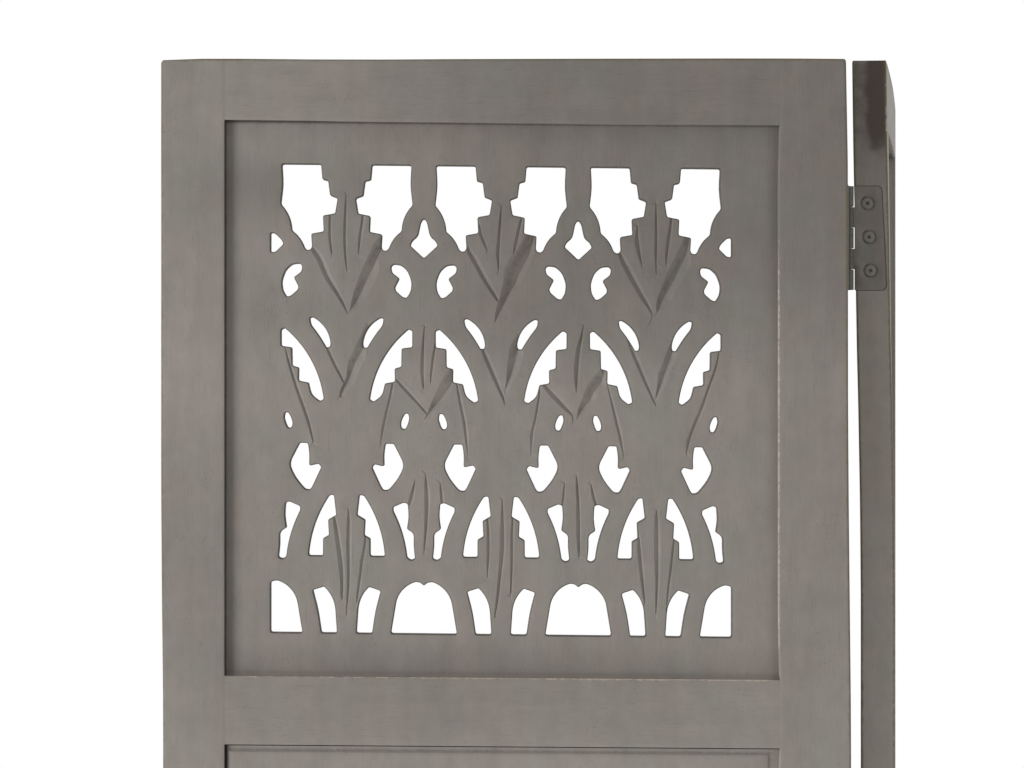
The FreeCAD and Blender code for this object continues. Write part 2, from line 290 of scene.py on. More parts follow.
def specks() -> Tree:
    """The group for tiny specks of soil or of pale worn wood, scattered unevenly."""
    def draw(nodes: Nodes, get: Callable[[str], Socket]) -> dict[str, Socket]:
        """The middles of small cells, only where a wider noise is high."""
        cells = nodes.add("ShaderNodeTexVoronoi", {"Vector": get("Vector"), "Scale": get("Specks per metre")})
        dots = nodes.ramp(cells.outputs["Distance"], 0.22, 0.12)
        wide = nodes.noise(get("Vector"), 45.0, 2.0)
        return {"Mask": nodes.maths("MULTIPLY", dots, nodes.ramp(wide, get("Cover"), 0.75))}
    inputs = {"Vector": (0.0, 0.0, 0.0), "Specks per metre": 420.0, "Cover": 0.5}
    return Effect.tree("specks", inputs, {"Mask": "NodeSocketFloat"}, draw)


@dataclass(frozen=True)
class Layer:
    """One layer of worn paint, soil, painted shade or painted light: the attribute that says where it is, its
    colour, and how it breaks up.
    """

    title: str
    tint: Colour
    breaks_per_metre: float
    swing: float
    level: float
    softness: float
    strength: float

    def over(self, nodes: Nodes, place: Socket, colour: Socket) -> Socket:
        """The colour with this layer on it."""
        mask = Effect.place(nodes, broken_mask(), {
            "Vector": place, "Mask": nodes.attribute(self.title).outputs["Fac"],
            "Breaks per metre": self.breaks_per_metre, "Break": self.swing, "Level": self.level,
            "Softness": self.softness,
        })
        strength = nodes.maths("MULTIPLY", mask.outputs["Mask"], self.strength)
        return nodes.mix(strength, colour, self.tint.linear())


def new_material(name: str) -> tuple[bpy.types.Material, bpy.types.Node]:
    """A new material with nodes, and its shader node."""
    material = bpy.data.materials.new(name)
    material.use_nodes = True
    return material, material.node_tree.nodes["Principled BSDF"]


@dataclass(frozen=True)
class WashedWood:
    """Grey washed hardwood, worn along its arrises, with painted shade in its creases and recesses and
    painted light on a few dim edges.
    """

    name: str = "grey_washed_wood"
    base: Colour = Colour(134, 128, 122)
    cool: Colour = Colour(130, 130, 122)
    warm: Colour = Colour(140, 130, 124)
    shade: Colour = Colour(122, 115, 108)
    # Dark colour for specks of soil, and for the painted shade laid in creases, cracks and recesses.
    dirt_and_shade: Colour = Colour(48, 42, 36)
    # Pale colour for worn arrises, also laid as painted light on a few dim edges.
    bare_and_lit: Colour = Colour(176, 164, 152)
    rim: Colour = Colour(106, 98, 74)
    stain: Colour = Colour(74, 63, 58)
    cloud_amount: float = 0.58
    shade_amount: float = 0.35
    fibre_contrast: float = 0.09
    roughness: float = 0.72
    bump_depth: float = 0.00012

    def build(self) -> bpy.types.Material:
        """Make the material.

        Returns:
            The material, which reads the attributes that Dressing writes.
        """
        material, shader = new_material(self.name)
        nodes = Nodes(material.node_tree)
        place = nodes.attribute("grain").outputs["Vector"]
        fibre = Effect.place(nodes, wood_fibre(), {"Vector": place})
        wash = Effect.place(nodes, cloudy_wash(), {
            "Vector": nodes.attribute("wash").outputs["Vector"], "Base": self.base.linear(),
            "Cool": self.cool.linear(), "Warm": self.warm.linear(), "Shade": self.shade.linear(),
            "Amount": self.cloud_amount, "Shade amount": self.shade_amount,
        })
        contrast = self.fibre_contrast
        tone = nodes.maths("MULTIPLY_ADD", fibre.outputs["Fibre"], contrast, 1 - contrast / 2)
        figure = nodes.maths("MULTIPLY_ADD", fibre.outputs["Figure"], 0.1, 0.95)
        tone = nodes.maths("MULTIPLY", tone, figure)
        pores = nodes.maths("MULTIPLY", fibre.outputs["Pores"], 0.1)
        tone = nodes.maths("SUBTRACT", tone, pores)
        tone = nodes.maths("MULTIPLY", tone, nodes.attribute("tone").outputs["Fac"])
        grey = nodes.add("ShaderNodeCombineColor", {0: tone, 1: tone, 2: tone}).outputs[0]
        colour = nodes.mix(1.0, wash.outputs["Color"], grey, "MULTIPLY")
        dots = Effect.place(nodes, specks(), {"Vector": place})
        colour = nodes.mix(nodes.maths("MULTIPLY", dots.outputs["Mask"], 0.35), colour, self.dirt_and_shade.linear())
        layers = (
            Layer("stain", self.stain, 90.0, 0.9, 0.5, 0.4, 0.9),
            Layer("rim", self.rim, 260.0, 0.8, 0.42, 0.3, 0.9),
            # Worn arrises, and painted light on a few dim edges such as the mid rail's top side.
            Layer("wear_and_painted_light", self.bare_and_lit, 420.0, 1.3, 0.75, 0.2, 0.85),
            # Painted shade with some soil: the dark colour laid in cracks, creases, recesses and on the
            # shaded walls of the cuts.
            Layer("grime_and_painted_shade", self.dirt_and_shade, 500.0, 0.5, 0.5, 0.45, 0.85),
        )
        for layer in layers:
            colour = layer.over(nodes, place, colour)
        nodes.put(shader.inputs["Base Color"], colour)
        rough = nodes.maths("MULTIPLY_ADD", fibre.outputs["Figure"], -0.12, self.roughness + 0.06)
        nodes.put(shader.inputs["Roughness"], rough)
        shader.inputs["Specular IOR Level"].default_value = 0.35
        bump = nodes.add("ShaderNodeBump", {
            "Strength": 0.6, "Distance": self.bump_depth, "Height": fibre.outputs["Height"],
        })
        nodes.put(shader.inputs["Normal"], bump.outputs["Normal"])
        return material


@dataclass(frozen=True)
class PaintedMetal:
    """Metal painted over with the screen's own grey wash, with soil and painted shade in its corners and
    gaps.
    """

    name: str
    base: Colour = Colour(119, 114, 107)
    cool: Colour = Colour(120, 121, 113)
    warm: Colour = Colour(128, 118, 111)
    shade: Colour = Colour(94, 89, 82)
    # Dark colour for the painted shade and soil in gaps and recesses.
    dirt_and_shade: Colour = Colour(44, 40, 36)
    bare_and_lit: Colour = Colour(150, 140, 130)
    roughness: float = 0.55
    metallic: float = 0.0
    bump_depth: float = 0.00012

    def build(self) -> bpy.types.Material:
        """Make the material.

        Returns:
            The material, which reads the attributes that Dressing writes.
        """
        material, shader = new_material(self.name)
        nodes = Nodes(material.node_tree)
        place = nodes.attribute("grain").outputs["Vector"]
        wash = Effect.place(nodes, cloudy_wash(), {
            "Vector": place, "Base": self.base.linear(), "Cool": self.cool.linear(),
            "Warm": self.warm.linear(), "Shade": self.shade.linear(), "Clouds per metre": 140.0,
        })
        lumps = nodes.noise(place, 700.0, 4.0, 0.6)
        colour = wash.outputs["Color"]
        layers = (
            Layer("wear_and_painted_light", self.bare_and_lit, 900.0, 1.3, 0.7, 0.2, 0.6),
            # Painted shade with some soil: in the screw recesses, between the knuckles and round the barrel.
            Layer("grime_and_painted_shade", self.dirt_and_shade, 700.0, 0.7, 0.5, 0.4, 0.9),
        )
        for layer in layers:
            colour = layer.over(nodes, place, colour)
        nodes.put(shader.inputs["Base Color"], colour)
        nodes.put(shader.inputs["Roughness"], nodes.maths("MULTIPLY_ADD", lumps, 0.2, self.roughness - 0.1))
        shader.inputs["Metallic"].default_value = self.metallic
        bump = nodes.add("ShaderNodeBump", {"Strength": 0.7, "Distance": self.bump_depth, "Height": lumps})
        nodes.put(shader.inputs["Normal"], bump.outputs["Normal"])
        return material


@dataclass(frozen=True)
class PlainFloor:
    """A plain pale floor."""

    name: str = "pale_floor"
    colour: Colour = Colour(236, 235, 232)
    roughness: float = 0.9

    def build(self) -> bpy.types.Material:
        """Make the material."""
        material, shader = new_material(self.name)
        shader.inputs["Base Color"].default_value = self.colour.linear()
        shader.inputs["Roughness"].default_value = self.roughness
        return material


# Mesh tools


def mesh_from(name: str, points: Sequence[Sequence[float]], faces: Sequence[Sequence[int]]) -> Mesh:
    """A mesh with its faces turned outwards.

    Args:
        name: The mesh's name.
        points: Its corners in millimetres.
        faces: Each face's corners.

    Returns:
        The mesh, in metres.
    """
    mesh = bpy.data.meshes.new(name)
    mesh.from_pydata([tuple(part * MM for part in point) for point in points], [], [tuple(f) for f in faces])
    turn_outwards(mesh)
    return mesh


def turn_outwards(mesh: Mesh) -> None:
    """Turn every face of a closed mesh outwards."""
    work = bmesh.new()
    work.from_mesh(mesh)
    bmesh.ops.recalc_face_normals(work, faces=work.faces)
    work.to_mesh(mesh)
    work.free()
    mesh.update()


def boolean(mesh: Mesh, tool: Mesh, operation: str) -> Mesh:
    """One closed mesh cut from another, or joined to it.

    Args:
        mesh: The mesh to work on.
        tool: The mesh to cut or join with.
        operation: DIFFERENCE or UNION.

    Returns:
        The new mesh; the two old ones are gone.
    """
    body = bpy.data.objects.new("boolean_body", mesh)
    cutter = bpy.data.objects.new("boolean_tool", tool)
    for item in (body, cutter):
        bpy.context.scene.collection.objects.link(item)
    modifier = body.modifiers.new("boolean", "BOOLEAN")
    modifier.object = cutter
    modifier.operation = operation
    modifier.solver = "EXACT"
    bpy.context.view_layer.update()
    graph = bpy.context.evaluated_depsgraph_get()
    result = bpy.data.meshes.new_from_object(body.evaluated_get(graph))
    result.name = mesh.name
    for item in (body, cutter):
        bpy.data.objects.remove(item)
    for old in (mesh, tool):
        bpy.data.meshes.remove(old)
    return result


def joined(name: str, meshes: Iterable[Mesh]) -> Mesh:
    """Several meshes as one, each still a closed shell of its own."""
    work = bmesh.new()
    for mesh in meshes:
        work.from_mesh(mesh)
        bpy.data.meshes.remove(mesh)
    whole = bpy.data.meshes.new(name)
    work.to_mesh(whole)
    work.free()
    return whole


def block_mesh(low: Sequence[float], high: Sequence[float]) -> Mesh:
    """A squared block between two corners, used to cut or to join."""
    points = [(x, y, z) for x in (low[0], high[0]) for y in (low[1], high[1]) for z in (low[2], high[2])]
    faces = [(0, 1, 3, 2), (4, 6, 7, 5), (0, 4, 5, 1), (2, 3, 7, 6), (0, 2, 6, 4), (1, 5, 7, 3)]
    return mesh_from("block", points, faces)


def bridged(rings: Sequence[Sequence[int]]) -> list[Face]:
    """The faces between each closed ring of corners and the next one."""
    faces = []
    for here, there in zip(rings[:-1], rings[1:]):
        for number in range(len(here)):
            beside = (number + 1) % len(here)
            faces.append((here[number], here[beside], there[beside], there[number]))
    return faces


def bar_faces(steps: int, count: int) -> list[Face]:
    """The faces of a closed bar whose corners stand in rings of one count, one ring after another."""
    rings = [tuple(range(step * count, (step + 1) * count)) for step in range(steps)]
    return bridged(rings) + [rings[0], rings[-1]]


def turned(profile: Sequence[Span], segments: int) -> tuple[list[Point], list[Face]]:
    """A closed round piece about the z axis.

    Args:
        profile: Radius and height of each step, from one end to the other.
        segments: How many sides it has round.

    Returns:
        Its corners and faces.
    """
    points = []
    for radius, height in profile:
        for number in range(segments):
            turn = 2 * math.pi * number / segments
            points.append((radius * math.cos(turn), radius * math.sin(turn), height))
    return points, bar_faces(len(profile), segments)


def wave(place: float, period: float, seed: float) -> float:
    """Smooth noise from 0 to 1 along a line."""
    return 0.5 + 0.5 * noise.noise(Vector((place / period, seed, 0.37)))


def vertex_array(mesh: Mesh) -> np.ndarray:
    """The mesh's corners in millimetres, one row each."""
    flat = np.empty(len(mesh.vertices) * 3)
    mesh.vertices.foreach_get("co", flat)
    return flat.reshape(-1, 3) / MM


def set_corners(mesh: Mesh, places: np.ndarray) -> None:
    """Move the mesh's corners to these places in millimetres."""
    mesh.vertices.foreach_set("co", (places * MM).ravel())
    mesh.update()


def near(distance: np.ndarray, reach: float) -> np.ndarray:
    """A mask that is 1 at no distance and 0 from this reach on."""
    return np.clip(1 - distance / reach, 0, 1)


@dataclass(frozen=True)
class Patch:
    """A soft patch where the front panel is made lighter or darker, in a flat panel's coordinates; some are
    uneven wash, some painted shade, such as the dark band just above the jali's sill.
    """

    across: float
    level: float
    half_width: float
    half_height: float
    lighter: float

    def at(self, across: np.ndarray, level: np.ndarray) -> np.ndarray:
        """How much lighter the wash is at some places."""
        sideways = (across - self.across) / self.half_width
        upwards = (level - self.level) / self.half_height
        return self.lighter * np.exp(-(sideways ** 2 + upwards ** 2))


# Patches of uneven wash and of painted shade on the front panel.
FRONT_WASH_AND_SHADE = (
    Patch(60, 1573, 50, 20, -0.22), Patch(345, 1492, 85, 28, 0.12), Patch(70, 1505, 35, 18, -0.1),
    Patch(8, 1468, 40, 36, 0.1), Patch(20, 1350, 48, 60, -0.14), Patch(150, 1300, 150, 16, -0.13),
    Patch(120, 1270, 140, 20, -0.08), Patch(255, 1233, 140, 16, 0.17), Patch(365, 1270, 50, 26, 0.09),
)


def front_tone_and_shade(across: np.ndarray, level: np.ndarray) -> np.ndarray:
    """How light the front panel is made: painted shade from its middle to its top right corner, and the
    patches of uneven wash and painted shade.
    """
    to_right = np.clip((across - 60.0) / 170.0, 0, 1)
    upwards = np.clip((level - 1452.0) / 48.0, 0, 1)
    most = 0.24
    # Painted shade: the top right corner is darkened, as where less light reaches.
    darker = most * to_right * (to_right * (3 - 2 * to_right)) ** 0.5 * upwards * upwards * (3 - 2 * upwards)
    tone = 1.0 - darker
    return tone + sum(patch.at(across, level) for patch in FRONT_WASH_AND_SHADE)


@dataclass
class Dressing:
    """The masks that a piece's finish reads from its mesh, and how light the piece is made; these hold
    painted shade and painted light as well as real marks and uneven wash.
    """

    wear_and_painted_light: np.ndarray | float = 0.0
    rim: np.ndarray | float = 0.0
    grime_and_painted_shade: np.ndarray | float = 0.0
    stain: np.ndarray | float = 0.0
    # Lightness, from uneven wash and from painted shade and painted light.
    tone: np.ndarray | float = 1.0

    def write(self, mesh: Mesh, grain: np.ndarray) -> None:
        """Write the masks and the coordinates of the grain and the wash, in metres, into the mesh."""
        count = len(mesh.vertices)
        for title, places in (("grain", grain), ("wash", vertex_array(mesh))):
            vectors = mesh.attributes.new(title, "FLOAT_VECTOR", "POINT")
            vectors.data.foreach_set("vector", (places * MM).astype(np.float32).ravel())
        for title in ("wear_and_painted_light", "rim", "grime_and_painted_shade", "stain", "tone"):
            values = np.broadcast_to(np.asarray(getattr(self, title), dtype=np.float32), (count,))
            layer = mesh.attributes.new(title, "FLOAT", "POINT")
            layer.data.foreach_set("value", np.ascontiguousarray(values))


# Where the panels are


class ScreenPlan:
    """The screen's measures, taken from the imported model, and where each panel stands."""

    rest_fold = math.radians(84.0)

    def __init__(self) -> None:
        """Read the front panel's place and the hinge axis from the frame."""
        joint = frame["record"]["behaviour"]["joints"][0]
        self.axis = Vector((joint["pos_m"][0], joint["pos_m"][1], 0.0))
        low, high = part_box("front_outer_stile")
        self.corner = Vector((low.x, low.y, 0.0))
        self.height = high.z / MM
        self.thickness = (high.y - low.y) / MM
        self.outer_stile = (high.x - low.x) / MM
        low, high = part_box("front_hinge_stile")
        self.width = (high.x - self.corner.x) / MM
        self.hinge_stile = (high.x - low.x) / MM
        self.sides = (self.outer_stile, self.width - self.hinge_stile)

    def span(self, node: str, direction: str) -> Span:
        """Where a front node starts and ends along the panel's own u, v or w."""
        low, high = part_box(node)
        part = {"u": "x", "v": "y", "w": "z"}[direction]
        start = getattr(self.corner, part)
        return ((getattr(low, part) - start) / MM, (getattr(high, part) - start) / MM)

    def hinge_in_panel(self) -> Span:
        """The hinge axis in the flat panel's u and v."""
        return ((self.axis.x - self.corner.x) / MM, (self.axis.y - self.corner.y) / MM)

    def placement(self, panel: PanelName) -> Matrix:
        """The matrix that takes a flat panel's own coordinates to the frame."""
        stand = Matrix.Translation(self.corner)
        if panel is PanelName.FRONT:
            return stand
        there = Matrix.Translation(self.axis)
        back = Matrix.Translation(-self.axis)
        mirror = Matrix.Diagonal((-1.0, 1.0, 1.0, 1.0))
        return there @ Matrix.Rotation(self.rest_fold, 4, "Z") @ mirror @ back @ stand


@dataclass(frozen=True)
class HandmadeShape:
    """How the wood departs from straight and square, in a flat panel's coordinates.

    The rails and the fretwork lean a little, the upper mid rail sits a little high, and the stiles
    are bowed between the hinges. Where the front hinge stile bows out, the folded one was planed back,
    so that the panels still open flat. Each table holds levels and distances in millimetres.
    """

    rail_slope: float = 0.0074
    fret_slope: float = 0.0112
    fret_blend: float = 22.0
    fret_shift: float = -0.63
    rail_lift: tuple[Span, ...] = ((900, 0), (1180, 0.92), (1294, 0.92), (1313, 0))
    outer_bow: tuple[Span, ...] = (
        (0, 0), (260, 0), (700, 0.7), (1240, 1.15), (1276, 1.05), (1334, 0.45), (1392, 0),
    )
    front_bow: tuple[Span, ...] = (
        (0, 0), (260, 0), (700, 0.9), (1240, 1.5), (1276, 1.35), (1334, 0.75), (1392, 0.15), (1450, -0.25),
        (1508, -0.3), (1590, -0.4), (1625, -1.05), (1650, -1.5),
    )
    folded_bow: tuple[Span, ...] = (
        (0, 0), (260, 0), (700, 1.9), (1240, 3.0), (1334, 3.0), (1392, 2.4), (1450, 1.35), (1479, 0.6),
        (1508, 0.1), (1545, -0.4), (1596, -1.5), (1625, -1.9), (1650, -2.2),
    )

    def shape(self, mesh: Mesh, plan: ScreenPlan, panel: PanelName,
              opening: tuple[float, float, float, float]) -> None:
        """Move a wooden piece's corners to their real places.

        Args:
            mesh: The piece, in the flat panel's coordinates.
            plan: The screen's measures.
            panel: The panel that it belongs to.
            opening: The jali board's opening: its two sides, its sill and its head.
        """
        places = vertex_array(mesh)
        u, _, w = places.T.copy()
        start, end, sill, head = opening
        inside = np.minimum(np.minimum(u - start, end - u), np.minimum(w - sill, head - w))
        on_fret = np.clip(inside / self.fret_blend, 0, 1)
        slope = self.rail_slope + (self.fret_slope - self.rail_slope) * on_fret
        on_rails = np.clip((plan.height - 10.0 - w) / 28.0, 0, 1) * np.clip(w / 60.0, 0, 1)
        on_rails = on_rails * np.clip((plan.width - 15.0 - u) / 20.0, 0, 1)
        places[:, 2] += bowed(w, self.rail_lift) - slope * (u - (start + end) / 2) * on_rails
        places[:, 0] += self.fret_shift * on_fret
        on_hinge_stile = np.clip((u - end) / (plan.width - end), 0, 1)
        if panel is PanelName.FRONT:
            places[:, 0] += bowed(w, self.front_bow) * on_hinge_stile
            places[:, 0] += bowed(w, self.outer_bow) * np.clip((start - u) / start, 0, 1)
        else:
            places[:, 0] -= np.maximum(bowed(w, self.front_bow), 0) * on_hinge_stile
            bow_start = 120.0
            along = np.clip((u - bow_start) / (plan.width - bow_start), 0, 1)
            places[:, 1] -= bowed(w, self.folded_bow) * along ** 2
        set_corners(mesh, places)


def bowed(levels: np.ndarray, table: Sequence[Span]) -> np.ndarray:
    """The distances of a table of levels and distances, at any levels."""
    return np.interp(levels, [row[0] for row in table], [row[1] for row in table])


@dataclass
class Workshop:
    """Puts finished meshes in their places as pieces of the screen."""

    plan: ScreenPlan
    materials: dict[Slot, bpy.types.Material]

    def place(self, mesh: Mesh, node: str, panel: PanelName, slot: Slot, title: str,
              sharp: float = 38.0) -> bpy.types.Object:
        """Make a piece from a mesh in a flat panel's coordinates.

        Args:
            mesh: The mesh; it is used up.
            node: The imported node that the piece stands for.
            panel: The panel that it belongs to.
            slot: The material slot of its finish.
            title: The piece's name.
            sharp: The angle in degrees from which an edge looks sharp.

        Returns:
            The piece.
        """
        matrix = self.plan.placement(panel)
        mesh.transform(matrix)
        if matrix.determinant() < 0:
            mesh.flip_normals()
        mesh.shade_smooth()
        mesh.set_sharp_from_angle(angle=math.radians(sharp))
        mesh.materials.clear()
        mesh.materials.append(self.materials[slot])
        mesh.name = title
        piece = bpy.data.objects.new(title, mesh)
        bpy.context.scene.collection.objects.link(piece)
        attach(piece, panel.value + "_panel")
        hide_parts(node)
        log.info("%s: %d faces, for %s", title, len(mesh.polygons), node)
        return piece


# Stiles and rails


@dataclass
class Section:
    """A bar's cross-section at one place: its four sides and the radius of each arris."""

    low: float
    high: float
    front: float
    back: float
    low_front: float
    high_front: float
    high_back: float
    low_back: float

    def ring(self, margin: float, extra: Sequence[int]) -> list[tuple[float, float, float, float]]:
        """Points round the section.

        Args:
            margin: How far from each arris the nearest points on the flats lie.
            extra: How many more points each flat has: front, high side, back and low side.

        Returns:
            For each point its place across and through the bar, and its outward direction.
        """
        arcs = 3
        corners = (
            (self.low, self.front, self.low_front, 180.0, 1, 1),
            (self.high, self.front, self.high_front, 270.0, -1, 1),
            (self.high, self.back, self.high_back, 0.0, -1, -1),
            (self.low, self.back, self.low_back, 90.0, 1, -1),
        )
        flats = (
            ((self.low, self.front), (self.high, self.front), (0, -1)),
            ((self.high, self.front), (self.high, self.back), (1, 0)),
            ((self.high, self.back), (self.low, self.back), (0, 1)),
            ((self.low, self.back), (self.low, self.front), (-1, 0)),
        )
        points = []
        for number, (across, through, radius, start, right, down) in enumerate(corners):
            centre = (across + right * radius, through + down * radius)
            for step in range(arcs + 1):
                turn = math.radians(start + 90.0 * step / arcs)
                way = (math.cos(turn), math.sin(turn))
                points.append((centre[0] + radius * way[0], centre[1] + radius * way[1], way[0], way[1]))
            first, last, way = flats[number]
            length = math.dist(first, last)
            count = extra[number]
            places = [margin] + [
                margin + (length - 2 * margin) * k / (count + 1) for k in range(1, count + 1)
            ]
            for place in places + [length - margin]:
                share = place / length
                spot = tuple(first[part] + (last[part] - first[part]) * share for part in (0, 1))
                points.append((spot[0], spot[1], way[0], way[1]))
        return points


@dataclass
class FrameMember:
    """A stile or rail: a bar with eased arrises, its joints and its grooves."""

    name: str
    grain: Grain
    along: Span
    stations: Sequence[float]
    section_at: Callable[[float], Section]
    extra: Sequence[int] = (2, 0, 2, 0)
    margin: float = 2.2
    rounded_ends: bool = False
    end_radius_low: float = 1.0
    end_radius_high: float = 1.0
    end_radius_face: float = 0.9
    end_sag: Callable[[float], float] | None = None
    joints_on: Sequence[Mesh] = ()
    joints_off: Sequence[Mesh] = ()

    def point(self, across: float, through: float, along: float) -> Point:
        """A place on the bar in the panel's coordinates."""
        if self.grain is Grain.UPRIGHT:
            return (across, through, along)
        return (along, through, across)

    def end_rings(self, start: bool) -> list[list[Point]]:
        """The rings that round one end of the bar over, from the outside of the end inwards."""
        place = self.along[0] if start else self.along[1]
        inward = 1 if start else -1
        section = self.section_at(place)
        rings = []
        for turn in (90.0, 60.0, 30.0):
            sine, cosine = math.sin(math.radians(turn)), math.cos(math.radians(turn))
            ring = []
            for across, through, way_across, way_through in section.ring(self.margin, self.extra):
                side = self.end_radius_low if way_across < 0 else self.end_radius_high
                radius = abs(way_across) * side + abs(way_through) * self.end_radius_face
                inset = radius * (1 - cosine)
                sag = self.end_sag(across) if self.end_sag and not start else 0.0
                ring.append(self.point(
                    across - way_across * inset, through - way_through * inset,
                    place + inward * radius * (1 - sine) - sag,
                ))
            rings.append(ring)
        return rings

    def mesh(self) -> Mesh:
        """The bar's mesh, with its tenons on and its grooves and mortises cut."""
        rings = []
        if self.rounded_ends:
            rings += self.end_rings(True)
        for station in self.stations:
            ring = self.section_at(station).ring(self.margin, self.extra)
            sag_share = 0.0
            if self.end_sag:
                sag_share = min(max((station - self.along[1] + 60.0) / 60.0, 0.0), 1.0)
            rings.append([
                self.point(a, t, station - (self.end_sag(a) * sag_share if self.end_sag else 0.0))
                for a, t, _, _ in ring
            ])
        if self.rounded_ends:
            rings += self.end_rings(False)[::-1]
        points = [point for ring in rings for point in ring]
        result = mesh_from(self.name, points, bar_faces(len(rings), len(rings[0])))
        for tool in self.joints_on:
            result = boolean(result, tool, "UNION")
        if self.joints_off:
            result = boolean(result, joined("cutters", self.joints_off), "DIFFERENCE")
        return result


def station_list(start: float, end: float, step: float, marks: Sequence[float] = (),
                 dense: Sequence[Point] = ()) -> list[float]:
    """Places along a bar, closer together where asked.

    Args:
        start: The first place.
        end: The last place.
        step: The usual distance.
        marks: Places that must be there.
        dense: Stretches with a step of their own, each as start, end and step.

    Returns:
        The places in order, none nearer than a twentieth of a millimetre to the next.
    """
    places = set(np.linspace(start, end, max(2, round((end - start) / step) + 1)).tolist())
    for low, high, fine in dense:
        places |= set(np.linspace(low, high, round((high - low) / fine) + 1).tolist())
    places |= set(marks)
    kept: list[float] = []
    for place in sorted(p for p in places if start <= p <= end):
        if not kept or place - kept[-1] > 0.05:
            kept.append(place)
    kept[-1] = end
    return kept


# The fretwork


@dataclass(frozen=True)
class Cut:
    """A carved V-shaped cut: how deep it is, and stations of place and width of its two walls.

    Each station is the distance to the right of the leaf's axis, the distance down from the top of
    the fretwork, the width of the left wall and the width of the right wall. The apron is how far
    to the right the wood slopes gently down to the cut.
    """

    depth: float
    stations: tuple[tuple[float, float, float, float], ...]
    apron: float = 0.0


LEFT_STANDING_LEAF = (
    Cut(1.4, ((-21.5, 47.0, 1.2, 0.4), (-19.0, 50.2, 2.4, 1.5), (-15.9, 54.8, 2.6, 2.0),
              (-11.6, 65.0, 2.3, 2.0), (-5.6, 75.1, 1.8, 1.5), (-2.9, 80.2, 1.4, 1.2),
              (-0.7, 85.3, 0.8, 0.7), (0.2, 87.5, 0.3, 0.3)), apron=7.0),
    Cut(2.4, ((21.5, 45.0, 5.0, 0.8), (19.1, 49.7, 5.4, 1.2), (16.5, 54.8, 5.1, 1.8),
              (14.3, 60.0, 5.3, 4.0), (11.9, 65.0, 5.0, 4.8), (7.2, 75.0, 4.1, 4.1),
              (4.4, 80.2, 2.6, 2.8), (1.9, 84.3, 0.9, 1.1), (0.6, 86.8, 0.3, 0.3))),
    Cut(1.0, ((-1.0, 16.0, 0.3, 0.3), (-1.1, 24.4, 1.1, 0.8), (-1.4, 34.5, 1.3, 1.3),
              (-1.6, 44.7, 1.3, 1.2), (-1.2, 54.8, 0.9, 0.9), (-0.2, 65.0, 0.2, 0.2))),
    Cut(1.0, ((-10.4, 29.0, 0.8, 1.0), (-10.2, 39.6, 1.5, 0.9), (-9.9, 44.7, 1.5, 0.9),
              (-9.5, 49.7, 1.0, 0.7), (-9.3, 53.0, 0.3, 0.3))),
    Cut(1.0, ((8.9, 29.0, 1.0, 1.3), (8.3, 34.0, 1.0, 1.4), (7.3, 42.1, 1.3, 1.2), (6.7, 47.2, 1.0, 1.2),
              (5.8, 54.5, 0.2, 0.2))),
    Cut(1.1, ((-14.0, 101.5, 0.6, 0.5), (-11.2, 108.4, 1.3, 1.5), (-7.8, 116.2, 1.1, 1.6),
              (-4.2, 123.0, 1.0, 1.0), (-2.6, 126.4, 0.8, 0.6)), apron=5.0),
    Cut(1.9, ((13.5, 96.0, 4.2, 0.5), (10.2, 103.0, 4.3, 0.8), (8.7, 106.5, 4.4, 1.8),
              (6.8, 110.9, 4.2, 3.5), (4.1, 115.7, 4.3, 4.0), (0.1, 125.0, 1.4, 4.0),
              (-2.9, 130.5, 1.3, 3.2), (-4.3, 134.4, 0.9, 2.2), (-5.0, 136.0, 0.3, 0.5))),
    Cut(1.2, ((0.3, 199.5, 0.3, 0.4), (0.7, 207.0, 1.4, 1.2), (0.7, 220.6, 1.8, 1.5),
              (0.7, 239.3, 1.5, 1.0), (0.2, 248.6, 1.1, 1.0), (-0.5, 257.0, 0.7, 0.5),
              (-1.4, 267.0, 0.2, 0.2))),
    Cut(1.3, ((-8.0, 205.0, 0.8, 1.0), (-7.0, 209.0, 1.7, 1.2), (-5.3, 218.3, 2.4, 1.3),
              (-3.4, 232.3, 2.4, 1.2), (-3.0, 241.6, 1.8, 1.1), (-3.4, 251.0, 1.1, 0.9),
              (-3.5, 254.0, 0.3, 0.3))),
    Cut(1.0, ((10.6, 214.0, 0.8, 0.4), (10.2, 221.8, 1.5, 0.9), (8.7, 231.1, 1.6, 1.0),
              (7.3, 240.5, 1.3, 0.9), (5.9, 249.8, 1.1, 1.0), (4.7, 256.5, 0.2, 0.3))),
)
